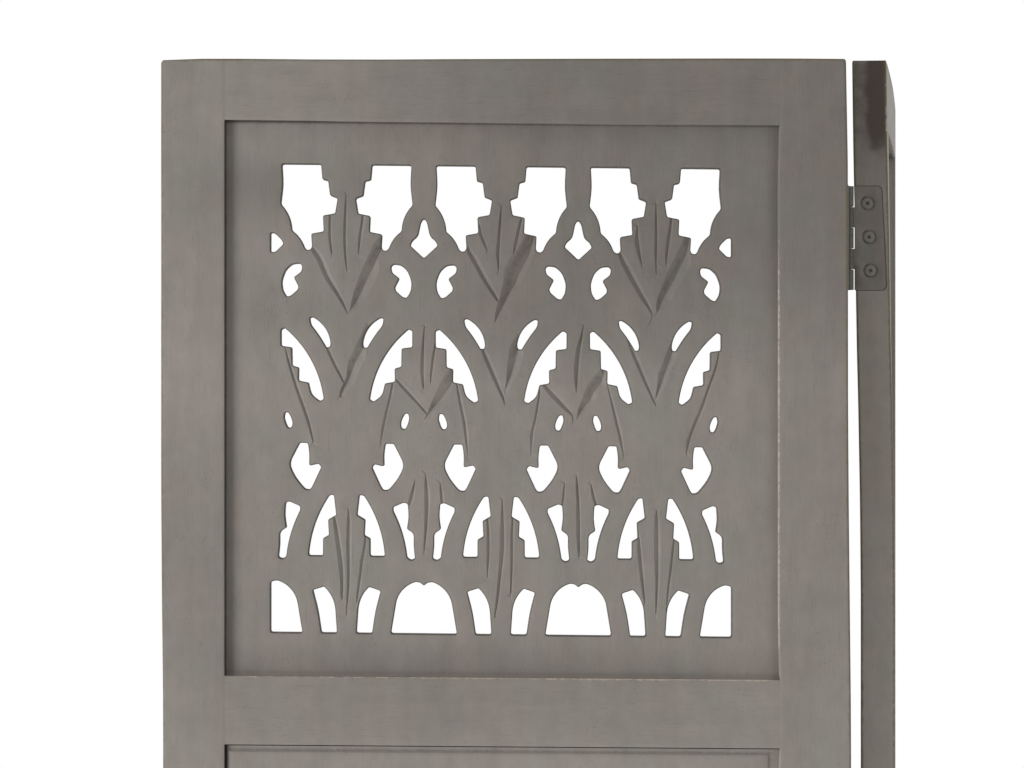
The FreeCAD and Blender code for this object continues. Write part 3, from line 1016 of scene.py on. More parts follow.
MIDDLE_STANDING_LEAF = (
    Cut(1.4, ((-20.0, 46.0, 0.8, 0.5), (-18.6, 49.8, 2.0, 1.5), (-15.5, 54.9, 2.4, 2.0),
              (-10.2, 65.0, 2.0, 2.0), (-4.1, 75.1, 1.5, 1.5), (-2.6, 77.9, 1.0, 1.0)), apron=7.0),
    Cut(3.0, ((19.0, 40.0, 5.0, 0.8), (16.7, 47.3, 6.7, 2.4), (15.2, 52.3, 9.0, 2.7),
              (9.9, 62.5, 8.9, 3.2), (8.1, 67.5, 8.2, 2.7), (5.0, 72.6, 5.6, 2.3), (2.2, 77.7, 4.0, 3.0),
              (-1.7, 85.3, 2.3, 1.7), (-3.6, 89.4, 0.9, 0.9), (-4.6, 91.5, 0.3, 0.3))),
    Cut(1.2, ((-0.3, 22.0, 0.3, 0.3), (-0.8, 29.6, 0.8, 1.0), (-1.2, 39.7, 1.6, 1.1),
              (-1.8, 49.8, 1.9, 1.2), (-1.9, 54.9, 1.4, 1.0), (-2.1, 61.8, 0.3, 0.3))),
    Cut(1.0, ((-13.6, 32.5, 0.4, 0.6), (-11.8, 39.7, 1.8, 0.7), (-9.9, 44.8, 1.6, 0.6),
              (-8.5, 49.8, 0.3, 0.3))),
    Cut(1.1, ((11.3, 30.5, 0.9, 1.2), (10.6, 34.6, 1.4, 1.2), (8.6, 44.8, 1.9, 0.8),
              (7.2, 48.8, 1.0, 0.8), (6.8, 50.5, 0.3, 0.3))),
    Cut(1.4, ((-12.4, 104.0, 0.8, 0.5), (-9.3, 111.1, 1.8, 2.0), (-5.0, 120.8, 1.9, 1.8),
              (-1.1, 130.5, 1.3, 1.4), (0.9, 135.4, 1.1, 1.0), (1.7, 139.5, 0.2, 0.2)), apron=6.0),
    Cut(2.1, ((11.5, 100.0, 3.6, 0.4), (10.0, 104.0, 4.7, 0.8), (8.9, 108.7, 5.2, 4.0),
              (6.7, 116.0, 3.8, 3.9), (5.2, 120.8, 2.7, 2.9), (3.3, 125.7, 1.1, 2.3),
              (2.1, 129.6, 0.4, 1.6), (1.9, 134.0, 0.3, 0.8))),
    Cut(1.3, ((0.0, 193.0, 0.3, 0.5), (0.5, 202.8, 1.3, 0.7), (1.0, 214.5, 2.5, 1.3),
              (0.8, 225.0, 2.5, 1.3), (-0.9, 239.0, 1.6, 0.9), (-2.5, 252.9, 1.4, 0.9),
              (-4.0, 261.1, 0.7, 0.6), (-4.3, 263.5, 0.2, 0.3))),
    Cut(1.0, ((-8.5, 205.3, 0.8, 0.8), (-7.7, 213.3, 1.5, 1.0), (-7.4, 222.6, 1.8, 0.8),
              (-8.0, 232.0, 1.2, 0.8), (-8.8, 241.5, 0.2, 0.3))),
    Cut(1.0, ((6.2, 204.5, 0.7, 1.0), (6.1, 214.5, 1.3, 1.2), (6.1, 228.5, 1.4, 0.9),
              (5.7, 237.8, 1.1, 0.9), (5.0, 247.1, 0.5, 1.0), (5.0, 251.5, 0.2, 0.5))),
)
RIGHT_STANDING_LEAF = (
    Cut(1.4, ((-22.0, 47.5, 1.0, 0.4), (-20.7, 50.5, 1.7, 1.5), (-18.4, 55.0, 2.4, 2.0),
              (-12.8, 65.2, 2.7, 2.0), (-7.3, 75.3, 2.2, 1.5), (-4.5, 80.4, 1.5, 1.2),
              (-2.2, 86.0, 0.6, 0.5), (-3.9, 91.0, 0.5, 0.2)), apron=7.0),
    Cut(2.4, ((19.1, 41.4, 3.6, 0.6), (18.6, 44.9, 4.0, 0.8), (17.4, 50.0, 5.0, 2.7),
              (15.3, 55.0, 5.6, 5.4), (10.3, 65.2, 5.4, 3.8), (7.2, 70.2, 4.1, 4.1),
              (4.2, 75.3, 3.4, 4.7), (1.9, 80.4, 2.3, 2.9), (0.6, 83.4, 0.5, 1.5), (0.2, 86.0, 0.3, 0.5))),
    Cut(1.1, ((-0.2, 19.0, 0.3, 0.3), (0.0, 29.7, 1.0, 1.0), (0.3, 39.9, 1.5, 1.0),
              (0.1, 50.0, 1.4, 0.6), (-0.1, 65.0, 0.2, 0.2))),
    Cut(1.3, ((-11.0, 33.5, 0.4, 0.6), (-10.7, 39.9, 1.9, 1.1), (-10.3, 42.4, 2.6, 1.1),
              (-10.0, 44.9, 2.6, 1.1), (-9.3, 50.0, 1.9, 1.1), (-8.2, 58.0, 0.3, 0.3))),
    Cut(1.2, ((8.7, 29.0, 0.8, 1.4), (8.5, 34.8, 1.4, 1.0), (7.6, 42.4, 2.0, 1.1), (6.4, 50.0, 1.4, 1.1),
              (5.6, 58.0, 0.2, 0.2))),
    Cut(1.2, ((-16.2, 101.1, 0.9, 0.4), (-13.0, 108.3, 1.6, 2.0), (-9.0, 118.0, 1.4, 1.6),
              (-4.8, 127.8, 1.2, 1.2), (-0.9, 136.5, 0.9, 0.7), (-0.1, 139.0, 0.2, 0.2)), apron=6.0),
    Cut(1.9, ((10.5, 101.0, 2.0, 0.4), (9.1, 108.3, 3.3, 3.0), (5.7, 118.0, 3.5, 2.4),
              (4.7, 120.5, 4.0, 2.7), (2.8, 125.3, 2.3, 2.7), (0.6, 130.2, 0.7, 2.5),
              (-0.6, 136.0, 0.2, 0.5))),
    Cut(1.3, ((0.2, 199.0, 0.3, 0.3), (0.6, 203.0, 1.5, 0.8), (1.0, 211.1, 2.4, 1.2),
              (1.0, 225.1, 2.4, 1.6), (0.8, 239.1, 1.5, 1.3), (0.2, 253.1, 1.0, 1.0),
              (-0.4, 262.0, 0.2, 0.4))),
    Cut(1.2, ((-10.4, 212.5, 0.3, 0.8), (-9.3, 221.6, 2.1, 1.0), (-8.6, 231.0, 2.0, 1.2),
              (-7.7, 240.3, 1.7, 0.9), (-6.9, 249.6, 1.1, 0.7), (-6.7, 254.0, 0.3, 0.3))),
    Cut(1.0, ((10.6, 214.0, 0.6, 0.4), (10.1, 221.6, 1.3, 0.7), (8.6, 235.6, 1.3, 0.8),
              (7.2, 245.0, 1.0, 1.2), (5.8, 258.4, 0.5, 0.4))),
)
LEFT_HANGING_LEAF = (
    Cut(1.2, ((-0.2, 91.5, 0.2, 0.3), (-0.6, 100.0, 1.0, 0.7), (-0.9, 110.0, 1.6, 1.1),
              (-1.0, 120.0, 2.0, 1.1), (-0.9, 128.0, 0.9, 0.7), (-1.1, 131.0, 0.2, 0.2))),
    Cut(1.0, ((6.0, 104.5, 0.8, 1.0), (4.9, 113.9, 1.4, 1.0), (3.8, 121.7, 1.1, 0.9),
              (3.0, 127.8, 0.2, 0.2))),
    Cut(1.1, ((-17.0, 124.5, 0.8, 0.5), (-13.6, 128.0, 1.4, 1.2), (-9.0, 132.8, 1.6, 1.4),
              (-4.6, 137.7, 1.3, 1.2), (-0.5, 142.5, 1.0, 0.8), (1.0, 144.5, 0.7, 0.6)), apron=5.0),
    Cut(2.2, ((20.0, 120.0, 6.2, 0.5), (16.6, 125.0, 6.0, 0.8), (12.9, 130.4, 5.3, 2.5),
              (9.7, 135.2, 4.7, 2.8), (5.3, 140.1, 2.4, 2.6), (2.0, 144.7, 0.8, 1.4),
              (-0.6, 148.4, 0.3, 0.3))),
    Cut(0.9, ((-18.9, 127.0, 0.6, 1.0), (-20.1, 135.2, 1.2, 1.1), (-22.2, 145.0, 1.5, 0.9),
              (-24.3, 154.7, 1.4, 0.7), (-26.4, 166.0, 0.2, 0.2))),
    Cut(1.0, ((18.6, 127.5, 0.6, 0.8), (20.7, 137.7, 1.3, 1.3), (22.8, 147.4, 1.4, 1.2),
              (24.0, 157.1, 1.2, 1.6), (25.3, 171.5, 0.2, 0.2))),
    Cut(1.3, ((0.2, 179.0, 0.3, 0.4), (1.0, 185.3, 1.5, 1.1), (1.7, 194.6, 2.2, 1.4),
              (1.4, 204.0, 1.9, 1.1), (0.6, 213.3, 1.2, 1.1), (-0.2, 222.0, 0.9, 0.7),
              (-0.5, 225.0, 0.3, 0.4))),
    Cut(1.2, ((-5.7, 182.5, 0.2, 0.3), (-6.4, 187.5, 1.0, 1.0), (-7.7, 194.0, 1.8, 1.3),
              (-9.3, 199.0, 1.5, 1.3))),
    Cut(1.0, ((8.7, 184.0, 0.2, 0.4), (9.4, 188.8, 1.1, 0.9), (10.2, 195.8, 1.3, 1.3))),
)
RIGHT_HANGING_LEAF = (
    Cut(1.5, ((2.6, 91.5, 0.3, 0.3), (1.3, 100.0, 1.3, 1.1), (0.3, 106.4, 2.3, 1.2),
              (-0.7, 117.0, 2.6, 1.5), (-1.2, 124.8, 1.8, 1.1), (-1.7, 132.0, 0.2, 0.3))),
    Cut(1.4, ((-19.6, 127.2, 1.8, 0.5), (-17.6, 129.2, 2.5, 1.0), (-14.0, 133.1, 2.6, 2.0),
              (-7.4, 140.4, 1.9, 1.6), (-3.8, 144.7, 0.9, 0.8), (-3.9, 150.0, 0.3, 0.3)), apron=5.0),
    Cut(2.3, ((14.6, 119.5, 3.2, 0.8), (13.2, 123.3, 5.1, 2.2), (12.5, 125.8, 6.4, 2.9),
              (8.8, 130.6, 5.2, 2.8), (6.4, 135.5, 5.1, 2.7), (2.0, 140.4, 2.5, 2.8),
              (-0.6, 145.0, 0.8, 1.3), (-1.4, 147.5, 0.4, 0.4))),
    Cut(1.0, ((-22.8, 129.0, 0.5, 0.8), (-23.7, 137.9, 1.1, 1.0), (-25.4, 147.6, 1.2, 0.9),
              (-27.1, 156.4, 1.8, 1.1), (-28.1, 168.5, 0.3, 0.3))),
    Cut(1.0, ((16.7, 128.0, 0.5, 0.6), (19.5, 137.9, 1.2, 1.0), (21.9, 147.6, 1.4, 1.4),
              (24.1, 157.3, 1.2, 1.4), (26.4, 170.5, 0.3, 0.3))),
    Cut(1.3, ((-1.6, 179.0, 0.3, 0.4), (-1.0, 185.3, 1.2, 0.9), (-0.3, 194.6, 1.4, 1.3),
              (0.2, 204.0, 2.2, 1.0), (0.2, 213.3, 2.0, 1.0), (0.1, 222.6, 1.2, 0.7),
              (-0.2, 228.7, 0.2, 0.3))),
    Cut(1.0, ((-8.5, 183.5, 0.3, 0.4), (-8.8, 190.0, 1.2, 0.9), (-9.6, 197.0, 1.0, 0.8))),
    Cut(1.1, ((6.7, 184.0, 0.3, 0.4), (7.6, 187.5, 1.0, 1.0), (9.0, 192.5, 1.5, 1.1),
              (10.2, 197.0, 1.3, 1.0))),
)
LEFT_END_STEM = (
    Cut(1.2, ((8.2, 106.0, 0.3, 0.3), (10.5, 115.2, 1.0, 1.2), (15.1, 129.8, 1.4, 1.3),
              (18.8, 139.5, 1.7, 0.9), (22.0, 149.2, 1.5, 1.1), (24.2, 159.0, 0.8, 0.6),
              (25.0, 164.5, 0.2, 0.2))),
)
RIGHT_END_STEM = (
    Cut(1.2, ((-8.3, 106.5, 0.5, 0.4), (-10.0, 115.6, 1.0, 0.7), (-15.0, 130.2, 1.2, 0.9),
              (-18.2, 139.9, 1.6, 1.3), (-22.3, 149.6, 1.6, 0.7), (-25.7, 159.3, 1.8, 0.7),
              (-27.6, 167.8, 0.3, 0.3))),
)
LEAVES = (
    LEFT_END_STEM, LEFT_STANDING_LEAF, LEFT_HANGING_LEAF, MIDDLE_STANDING_LEAF, RIGHT_HANGING_LEAF,
    RIGHT_STANDING_LEAF, RIGHT_END_STEM,
)


@dataclass
class Carving:
    """All the cuts of the fretwork, each in the flat panel's u and w."""

    cuts: list[np.ndarray] = field(default_factory=list)
    apron_depth: float = 0.55

    def add(self, cut: Cut, axis: float, top: float, drift: Callable[[], float]) -> None:
        """Add a cut.

        Args:
            cut: The cut, beside a leaf's axis.
            axis: Where the axis is.
            top: The level of the fretwork's top.
            drift: Gives how far the carver's hand strayed at each station.
        """
        widest = max(left + right for _, _, left, right in cut.stations)
        rows, slopes = [], []
        for right, down, left_wall, right_wall in cut.stations:
            place = (axis + right + drift(), top - down)
            share = min(1.0, 1.6 * (left_wall + right_wall) / widest)
            rows.append(place + (cut.depth * share, left_wall, right_wall))
            slopes.append(place + (self.apron_depth * share, 0.2, cut.apron))
        self.cuts.append(self.smoothed(np.array(rows)))
        if cut.apron:
            self.cuts.append(self.smoothed(np.array(slopes)))

    @staticmethod
    def smoothed(rows: np.ndarray) -> np.ndarray:
        """Stations about a millimetre and a half apart on a smooth line through the given ones."""
        padded = np.vstack([2 * rows[0] - rows[1], rows, 2 * rows[-1] - rows[-2]])
        result = []
        for number in range(1, len(padded) - 2):
            before, start, end, after = padded[number - 1:number + 3]
            steps = max(2, int(math.dist(start[:2], end[:2]) / 1.5))
            for step in range(steps):
                share = step / steps
                bend = 0.5 * (
                    2 * start + (end - before) * share
                    + (2 * before - 5 * start + 4 * end - after) * share ** 2
                    + (3 * start - before - 3 * end + after) * share ** 3
                )
                straight = start + (end - start) * share
                result.append(np.concatenate([bend[:2], straight[2:]]))
        result.append(rows[-1])
        return np.array(result)

    def depth_at(self, places: np.ndarray) -> tuple[np.ndarray, np.ndarray]:
        """How deep the carving is.

        Args:
            places: Rows of u and w.

        Returns:
            The depth at each place, and a mask from 0 to 1 of soil and painted shade low in each cut, heavier
            on its left wall.
        """
        depth = np.zeros(len(places))
        bottom = np.zeros(len(places))
        for rows in self.cuts:
            reach = rows[:, 3:].max() + 0.5
            low = rows[:, :2].min(axis=0) - reach
            high = rows[:, :2].max(axis=0) + reach
            chosen = np.where(np.all((places > low) & (places < high), axis=1))[0]
            if not len(chosen):
                continue
            spots = places[chosen]
            best = np.full(len(spots), np.inf)
            found = np.zeros((len(spots), 4))
            for start, end in zip(rows[:-1], rows[1:]):
                way = end[:2] - start[:2]
                share = np.clip(((spots - start[:2]) @ way) / (way @ way), 0, 1)
                foot = start[:2] + share[:, None] * way
                away = spots - foot
                distance = np.hypot(away[:, 0], away[:, 1])
                side = way[0] * away[:, 1] - way[1] * away[:, 0]
                values = start[2:] + share[:, None] * (end[2:] - start[2:])
                nearer = distance < best
                best = np.where(nearer, distance, best)
                row = np.column_stack([side, values])
                found[nearer] = row[nearer]
            wall = np.where(found[:, 0] < 0, found[:, 2], found[:, 3])
            share = np.clip(1 - best / np.maximum(wall, 0.05), 0, 1)
            here = found[:, 1] * share
            deeper = here > depth[chosen]
            depth[chosen] = np.where(deeper, here, depth[chosen])
            # Painted shade with some soil, low in each cut and heavier on its left wall, which faces away
            # from the light.
            on_left = np.where(found[:, 0] < 0, 1.0, 0.55) * np.clip(best * 4 + 0.4, 0, 1)
            soil_and_shade = np.clip(share * 3, 0, 1) * on_left * np.clip(found[:, 1] / 0.9 - 0.4, 0, 1)
            bottom[chosen] = np.maximum(bottom[chosen], soil_and_shade)
        return depth, bottom

    def crease_points(self, spacing: float) -> list[tuple[float, float]]:
        """Points along each cut's bottom, then along its two lips."""
        bottoms, lips = [], []
        for rows in self.cuts:
            fine = [rows[0]]
            for start, end in zip(rows[:-1], rows[1:]):
                steps = max(1, round(math.dist(start[:2], end[:2]) / spacing))
                fine += [start + (end - start) * step / steps for step in range(1, steps + 1)]
            for number, row in enumerate(fine):
                bottoms.append((row[0], row[1]))
                ahead = fine[min(number + 1, len(fine) - 1)][:2] - fine[max(number - 1, 0)][:2]
                length = max(math.hypot(*ahead), 1e-6)
                right = (-ahead[1] / length, ahead[0] / length)
                for side, width in ((-1, row[3]), (1, row[4])):
                    if width > 0.35:
                        lips.append((row[0] + side * right[0] * width, row[1] + side * right[1] * width))
        return bottoms + lips


def eased_corners(points: np.ndarray, radius: float, gentle: float, step: float) -> np.ndarray:
    """An outline with its corners rounded as a small saw leaves them.

    Args:
        points: The outline's corners, without the first one again.
        radius: The radius of a sharp corner.
        gentle: How far from a gentle corner its rounding may start.
        step: The longest side of the result.

    Returns:
        The points of the rounded outline.
    """
    result: list[np.ndarray] = []
    count = len(points)
    for number in range(count):
        before, here, after = points[number - 1], points[number], points[(number + 1) % count]
        into, out = here - before, after - here
        length_in, length_out = np.hypot(*into), np.hypot(*out)
        cosine = float(np.clip((into @ out) / (length_in * length_out), -1, 1))
        turn = math.acos(cosine)
        if turn < math.radians(3):
            result.append(here)
            continue
        most = 0.45 * min(length_in, length_out)
        wanted = radius * math.tan(min(turn, math.radians(150)) / 2) if turn > math.radians(60) else gentle
        reach = min(most, wanted)
        start, end = here - into / length_in * reach, here + out / length_out * reach
        steps = 2 + int(math.degrees(turn) / 18)
        for k in range(steps + 1):
            share = k / steps
            result.append((1 - share) ** 2 * start + 2 * share * (1 - share) * here + share ** 2 * end)
    dense: list[np.ndarray] = []
    for number, here in enumerate(result):
        after = result[(number + 1) % len(result)]
        length = math.dist(here, after)
        if length < 0.04:
            continue
        steps = max(1, math.ceil(length / step))
        dense += [here + (after - here) * k / steps for k in range(steps)]
    return np.array(dense)


def turning_area(points: np.ndarray) -> float:
    """The area inside an outline, positive where it runs against the clock."""
    across, up = points[:, 0], points[:, 1]
    return 0.5 * float(np.sum(across * np.roll(up, -1) - np.roll(across, -1) * up))


def moved_into_wood(points: np.ndarray, distance: float, hole: bool) -> np.ndarray:
    """An outline moved away from its opening, or inwards from a board's own edge."""
    ahead = np.roll(points, -1, axis=0) - points
    ahead /= np.hypot(ahead[:, 0], ahead[:, 1])[:, None]
    mean = ahead + np.roll(ahead, 1, axis=0)
    mean /= np.maximum(np.hypot(mean[:, 0], mean[:, 1]), 1e-6)[:, None]
    outward = np.column_stack([mean[:, 1], -mean[:, 0]])
    if turning_area(points) < 0:
        outward = -outward
    way = outward if hole else -outward
    offset = np.full(len(points), distance)
    sides = np.roll(points, -1, axis=0) - points
    for _ in range(12):
        moved = points + way * offset[:, None]
        new_sides = np.roll(moved, -1, axis=0) - moved
        short = np.sum(new_sides * sides, axis=1) < 0.15 * np.sum(sides * sides, axis=1)
        if not short.any():
            break
        caught = short | np.roll(short, 1)
        offset = np.where(caught, offset * 0.6, offset)
    return points + way * offset[:, None]


class PointField:
    """Points on a plane that keep a distance from each other."""

    def __init__(self, cell: float) -> None:
        """Start with no points; the cell is the largest distance that will be asked for."""
        self.cell = cell
        self.points: list[tuple[float, float]] = []
        self.cells: dict[tuple[int, int], list[int]] = {}

    def add(self, place: Sequence[float], distance: float) -> bool:
        """Add a point unless another lies nearer than the distance; True if it was added."""
        column, row = math.floor(place[0] / self.cell), math.floor(place[1] / self.cell)
        if distance > 0:
            for x in (column - 1, column, column + 1):
                for y in (row - 1, row, row + 1):
                    for number in self.cells.get((x, y), ()):
                        if math.dist(self.points[number], place) < distance:
                            return False
        self.cells.setdefault((column, row), []).append(len(self.points))
        self.points.append((float(place[0]), float(place[1])))
        return True


def plane_triangles(points: Sequence[Span], loops: Sequence[Sequence[int]],
                    ) -> tuple[list[Span], list[list[int]], dict[int, int]]:
    """Triangles between an outer loop and the loops in it.

    Args:
        points: Every point of the plane.
        loops: The loops, as numbers of points, the outer one first.

    Returns:
        The new points, the triangles, and each old point's new number.
    """
    edges = [(loop[k], loop[(k + 1) % len(loop)]) for loop in loops for k in range(len(loop))]
    triangles_inside = 1
    places, _, faces, origins, _, _ = delaunay_2d_cdt(
        [Vector(point) for point in points], edges, [], triangles_inside, 1e-5)
    numbers = {old: new for new, olds in enumerate(origins) for old in olds}
    fences = {frozenset((numbers[start], numbers[end])) for start, end in edges}
    beside: dict[frozenset, list[int]] = {}
    for number, face in enumerate(faces):
        for k in range(3):
            beside.setdefault(frozenset((face[k], face[(k + 1) % 3])), []).append(number)
    outer = loops[0]
    waiting = [
        number for k in range(len(outer))
        for number in beside[frozenset((numbers[outer[k]], numbers[outer[(k + 1) % len(outer)]]))]
    ]
    kept = set(waiting)
    while waiting:
        face = faces[waiting.pop()]
        for k in range(3):
            edge = frozenset((face[k], face[(k + 1) % 3]))
            if edge in fences:
                continue
            for other in beside[edge]:
                if other not in kept:
                    kept.add(other)
                    waiting.append(other)
    return [(place.x, place.y) for place in places], [list(faces[number]) for number in sorted(kept)], numbers


def filled(points: Sequence[Span], loops: Sequence[Sequence[int]], corners: Sequence[int]) -> list[Face]:
    """The faces that fill some loops on a plane.

    Args:
        points: The loops' points.
        loops: The loops, as numbers of points, the outer one first.
        corners: The mesh's corner for each point.

    Returns:
        The faces, as corners of the mesh.
    """
    _, triangles, numbers = plane_triangles(points, loops)
    old_of = {new: old for old, new in numbers.items()}
    return [tuple(corners[old_of[number]] for number in face) for face in triangles]


@dataclass
class PiercedPlate:
    """A flat plate with openings through it and eased arrises."""

    name: str
    outer: np.ndarray
    holes: list[np.ndarray]
    front: float
    back: float
    front_arris: float = 0.7
    back_arris: float = 0.3
    arris_depth: float = 0.45
    inner_points: Sequence[Span] = ()
    grid: float = 0.0
    depth_at: Callable[[np.ndarray], np.ndarray] | None = None
    face_points: int = 0

    def mesh(self) -> Mesh:
        """The plate's closed mesh, its first direction across and its third up, face points first."""
        outlines = [self.outer] + self.holes
        is_hole = [False] + [True] * len(self.holes)
        face_loops = [moved_into_wood(line, self.front_arris, hole) for line, hole in zip(outlines, is_hole)]
        field_points = PointField(3.5)
        loops = []
        for line in face_loops:
            start = len(field_points.points)
            for place in line:
                field_points.add(place, 0.0)
            loops.append(list(range(start, len(field_points.points))))
        for place in self.inner_points:
            field_points.add(place, 0.42)
        if self.grid:
            low, high = self.outer.min(axis=0), self.outer.max(axis=0)
            row, w = 0, low[1] + self.grid / 2
            while w < high[1]:
                u = low[0] + self.grid * (0.5 if row % 2 else 1.0)
                while u < high[0]:
                    field_points.add((u, w), self.grid * 0.55)
                    u += self.grid
                row += 1
                w += self.grid * 0.87
        flat, triangles, numbers = plane_triangles(field_points.points, loops)
        places = np.array(flat)
        depth = self.depth_at(places) if self.depth_at else np.zeros(len(places))
        used = sorted({corner for face in triangles for corner in face})
        renumber = {old: new for new, old in enumerate(used)}
        points = [(places[k][0], self.front + depth[k], places[k][1]) for k in used]
        faces = [tuple(renumber[corner] for corner in face) for face in triangles]
        self.face_points = len(points)
        back_loops: list[list[int]] = []
        back_flat: list[Span] = []
        back_start = []
        for line, hole, loop in zip(outlines, is_hole, loops):
            front_ring = [renumber[numbers[number]] for number in loop]
            wall_depth = self.depth_at(line) if self.depth_at else np.zeros(len(line))
            back_line = moved_into_wood(line, self.back_arris, hole)
            lip = moved_into_wood(line, self.front_arris * 0.8, hole)
            lip_depth = self.depth_at(lip) if self.depth_at else np.zeros(len(line))
            rings = [front_ring]
            steps = [
                (lip, self.front + lip_depth + 0.03), (line, self.front + wall_depth + self.arris_depth),
                (line, np.full(len(line), self.back - self.back_arris)),
                (back_line, np.full(len(line), self.back)),
            ]
            for outline, through in steps:
                start = len(points)
                points += [(outline[k][0], float(through[k]), outline[k][1]) for k in range(len(outline))]
                rings.append(list(range(start, len(points))))
            faces += bridged(rings)
            start = len(back_flat)
            back_flat += [(float(place[0]), float(place[1])) for place in back_line]
            back_loops.append(list(range(start, len(back_flat))))
            back_start += rings[-1]
        faces += filled(back_flat, back_loops, back_start)
        return mesh_from(self.name, points, faces)


# One panel


HEAD_SAG = ((40, 0.0), (85, 0.15), (120, 0.5), (200, 0.7), (267, 1.1), (330, 0.9), (355, 0.75))
TOP_EDGE_SAG = (
    (0, 1.1), (8, 0.85), (22, 0.25), (45, 0.25), (90, 0.65), (130, 0.7), (170, 0.45), (250, 0.2), (330, 0.05),
    (370, 0.1), (400, 0.35),
)


@dataclass
class Panel:
    """One framed panel: two stiles, four rails, the jali board and two fielded boards."""

    workshop: Workshop
    name: PanelName
    front_top_drop: float = 0.9
    folded_sag_share: float = 0.3
    outer_arris: float = 1.1
    opening_arris: float = 0.5
    joint_arris: float = 0.06
    stile_overhang: float = 1.05
    worn_arris_share: float = 2.0
    groove_front: float = 4.9
    groove_back: float = 15.1
    groove_depth: float = 8.0
    tenon_front: float = 6.5
    tenon_back: float = 13.5
    tenon_length: float = 24.0
    tenon_inset: float = 11.0
    tenon_gap: float = 0.1
    mortise_gap: float = 1.0
    board_front: float = 5.0
    board_back: float = 15.0
    board_reach: float = 7.5
    field_rise: float = 0.8
    board_proud: float = 2.4
    fret_drop: float = 25.5
    leaf_start: float = 64.4
    leaf_pitch: float = 44.91
    grid: float = 3.0
    end_start: float = 1.6
    end_stop: float = 2.0
    stile_step: float = 12.0
    rail_step: float = 8.0
    board_step: float = 14.0
    seed: int = 7

    @property
    def plan(self) -> ScreenPlan:
        """The screen's measures."""
        return self.workshop.plan

    def rail_spans(self) -> dict[str, Span]:
        """Lowest and highest level of each rail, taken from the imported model."""
        names = ("bottom_rail", "lower_mid_rail", "upper_mid_rail", "top_rail")
        return {name: self.plan.span("front_" + name, "w") for name in names}

    def openings(self) -> dict[str, Span]:
        """Lowest and highest level of each opening between the rails."""
        rails = self.rail_spans()
        return {
            "lower_board": (rails["bottom_rail"][1], rails["lower_mid_rail"][0]),
            "middle_board": (rails["lower_mid_rail"][1], rails["upper_mid_rail"][0]),
            "jali_board": (rails["upper_mid_rail"][1], rails["top_rail"][0]),
        }

    def top_sag(self, across: float) -> float:
        """How far the panel's sanded top edge lies below its full height."""
        places, sags = zip(*TOP_EDGE_SAG)
        sag = float(np.interp(across, places, sags))
        return sag + self.front_top_drop if self.name is PanelName.FRONT else sag * self.folded_sag_share

    def opening_radius(self, level: float) -> float:
        """The radius of a stile's inner arris, next to nothing where a rail joins it."""
        for sill, head in self.openings().values():
            if sill < level < head:
                return self.joint_arris + (self.opening_arris - self.joint_arris) * min(
                    1.0, (level - sill) / 0.8, (head - level) / 0.8)
        return self.joint_arris

    def stile_stations(self, hinge_levels: Sequence[float] = ()) -> list[float]:
        """The levels of a stile's mesh, with some at the rails' edges and more beside its hinges."""
        marks = []
        for sill, head in self.openings().values():
            marks += [sill, sill + 0.8, sill + 3.0, head - 3.0, head - 0.8, head]
        reach, fine_step = 36.0, 2.0
        dense = [(level - reach, level + reach, fine_step) for level in hinge_levels]
        return station_list(self.end_start, self.plan.height - self.end_stop, self.stile_step, marks, dense)

    def into_opening(self, level: float) -> float:
        """How far the hinge stile's inner edge stands into an opening."""
        for sill, head in self.openings().values():
            if sill < level < head:
                inside = min(level - sill, head - level)
                return self.stile_overhang * (0.3 * min(1.0, inside / 3.0) + 0.7 * min(1.0, inside / 30.0))
        return 0.0

    def stile_joints(self, inner: float, side: int) -> list[Mesh]:
        """The blocks that cut a stile's grooves and mortises.

        Args:
            inner: Where the stile's inner edge is.
            side: 1 if the opening lies at greater u, else -1.

        Returns:
            One mesh for each groove and mortise.
        """
        blocks = []

        def cut(depth: float, front: float, back: float, low: float, high: float) -> None:
            """One block from beyond the inner edge to a depth."""
            ends = sorted((inner + side * 4.0, inner - side * depth))
            blocks.append(block_mesh((ends[0], front, low), (ends[1], back, high)))

        for sill, head in self.openings().values():
            cut(self.groove_depth, self.groove_front, self.groove_back,
                sill - self.groove_depth, head + self.groove_depth)
        gap = self.tenon_gap
        for foot, head in self.rail_spans().values():
            cut(self.tenon_length + self.mortise_gap, self.tenon_front - gap, self.tenon_back + gap,
                foot + self.tenon_inset - gap, head - self.tenon_inset + gap)
        return blocks

    def grained(self, mesh: Mesh, grain: Grain, number: int) -> np.ndarray:
        """Each corner's place along and across the grain, moved so that no two pieces match."""
        places = vertex_array(mesh)
        if grain is Grain.ACROSS:
            places = places[:, [2, 1, 0]]
        shift = random.Random(self.seed * 100 + number + (50 if self.name is PanelName.FOLDED else 0))
        return places + np.array([shift.uniform(0, 4000) for _ in range(3)])

    def wash_tone_and_shade(self, u: np.ndarray, w: np.ndarray) -> np.ndarray:
        """How light the wood is made: uneven wash and painted shade on the front panel, even on the folded
        one.
        """
        return front_tone_and_shade(u, w) if self.name is PanelName.FRONT else np.ones(len(u))

    def board_box(self, name: str) -> tuple[Span, Span]:
        """The lower left and the upper right corner of a board, with its tongues."""
        start, end = self.plan.sides
        sill, head = self.openings()[name]
        low = (start - self.board_reach, sill - self.groove_depth)
        return low, (end + self.board_reach, head + self.board_reach)

    def finish(self, mesh: Mesh, name: str, sharp: float = 38.0) -> None:
        """Give a wooden piece its handmade shape and put it in its place."""
        opening = self.plan.sides + self.openings()["jali_board"]
        HandmadeShape().shape(mesh, self.plan, self.name, opening)
        node = self.name.value + "_" + name
        self.workshop.place(mesh, node, self.name, Slot.WOOD, node + "_wood", sharp)

    def outer_stile(self) -> None:
        """The plain stile at the panel's free edge."""
        plan = self.plan
        inner = plan.sides[0]

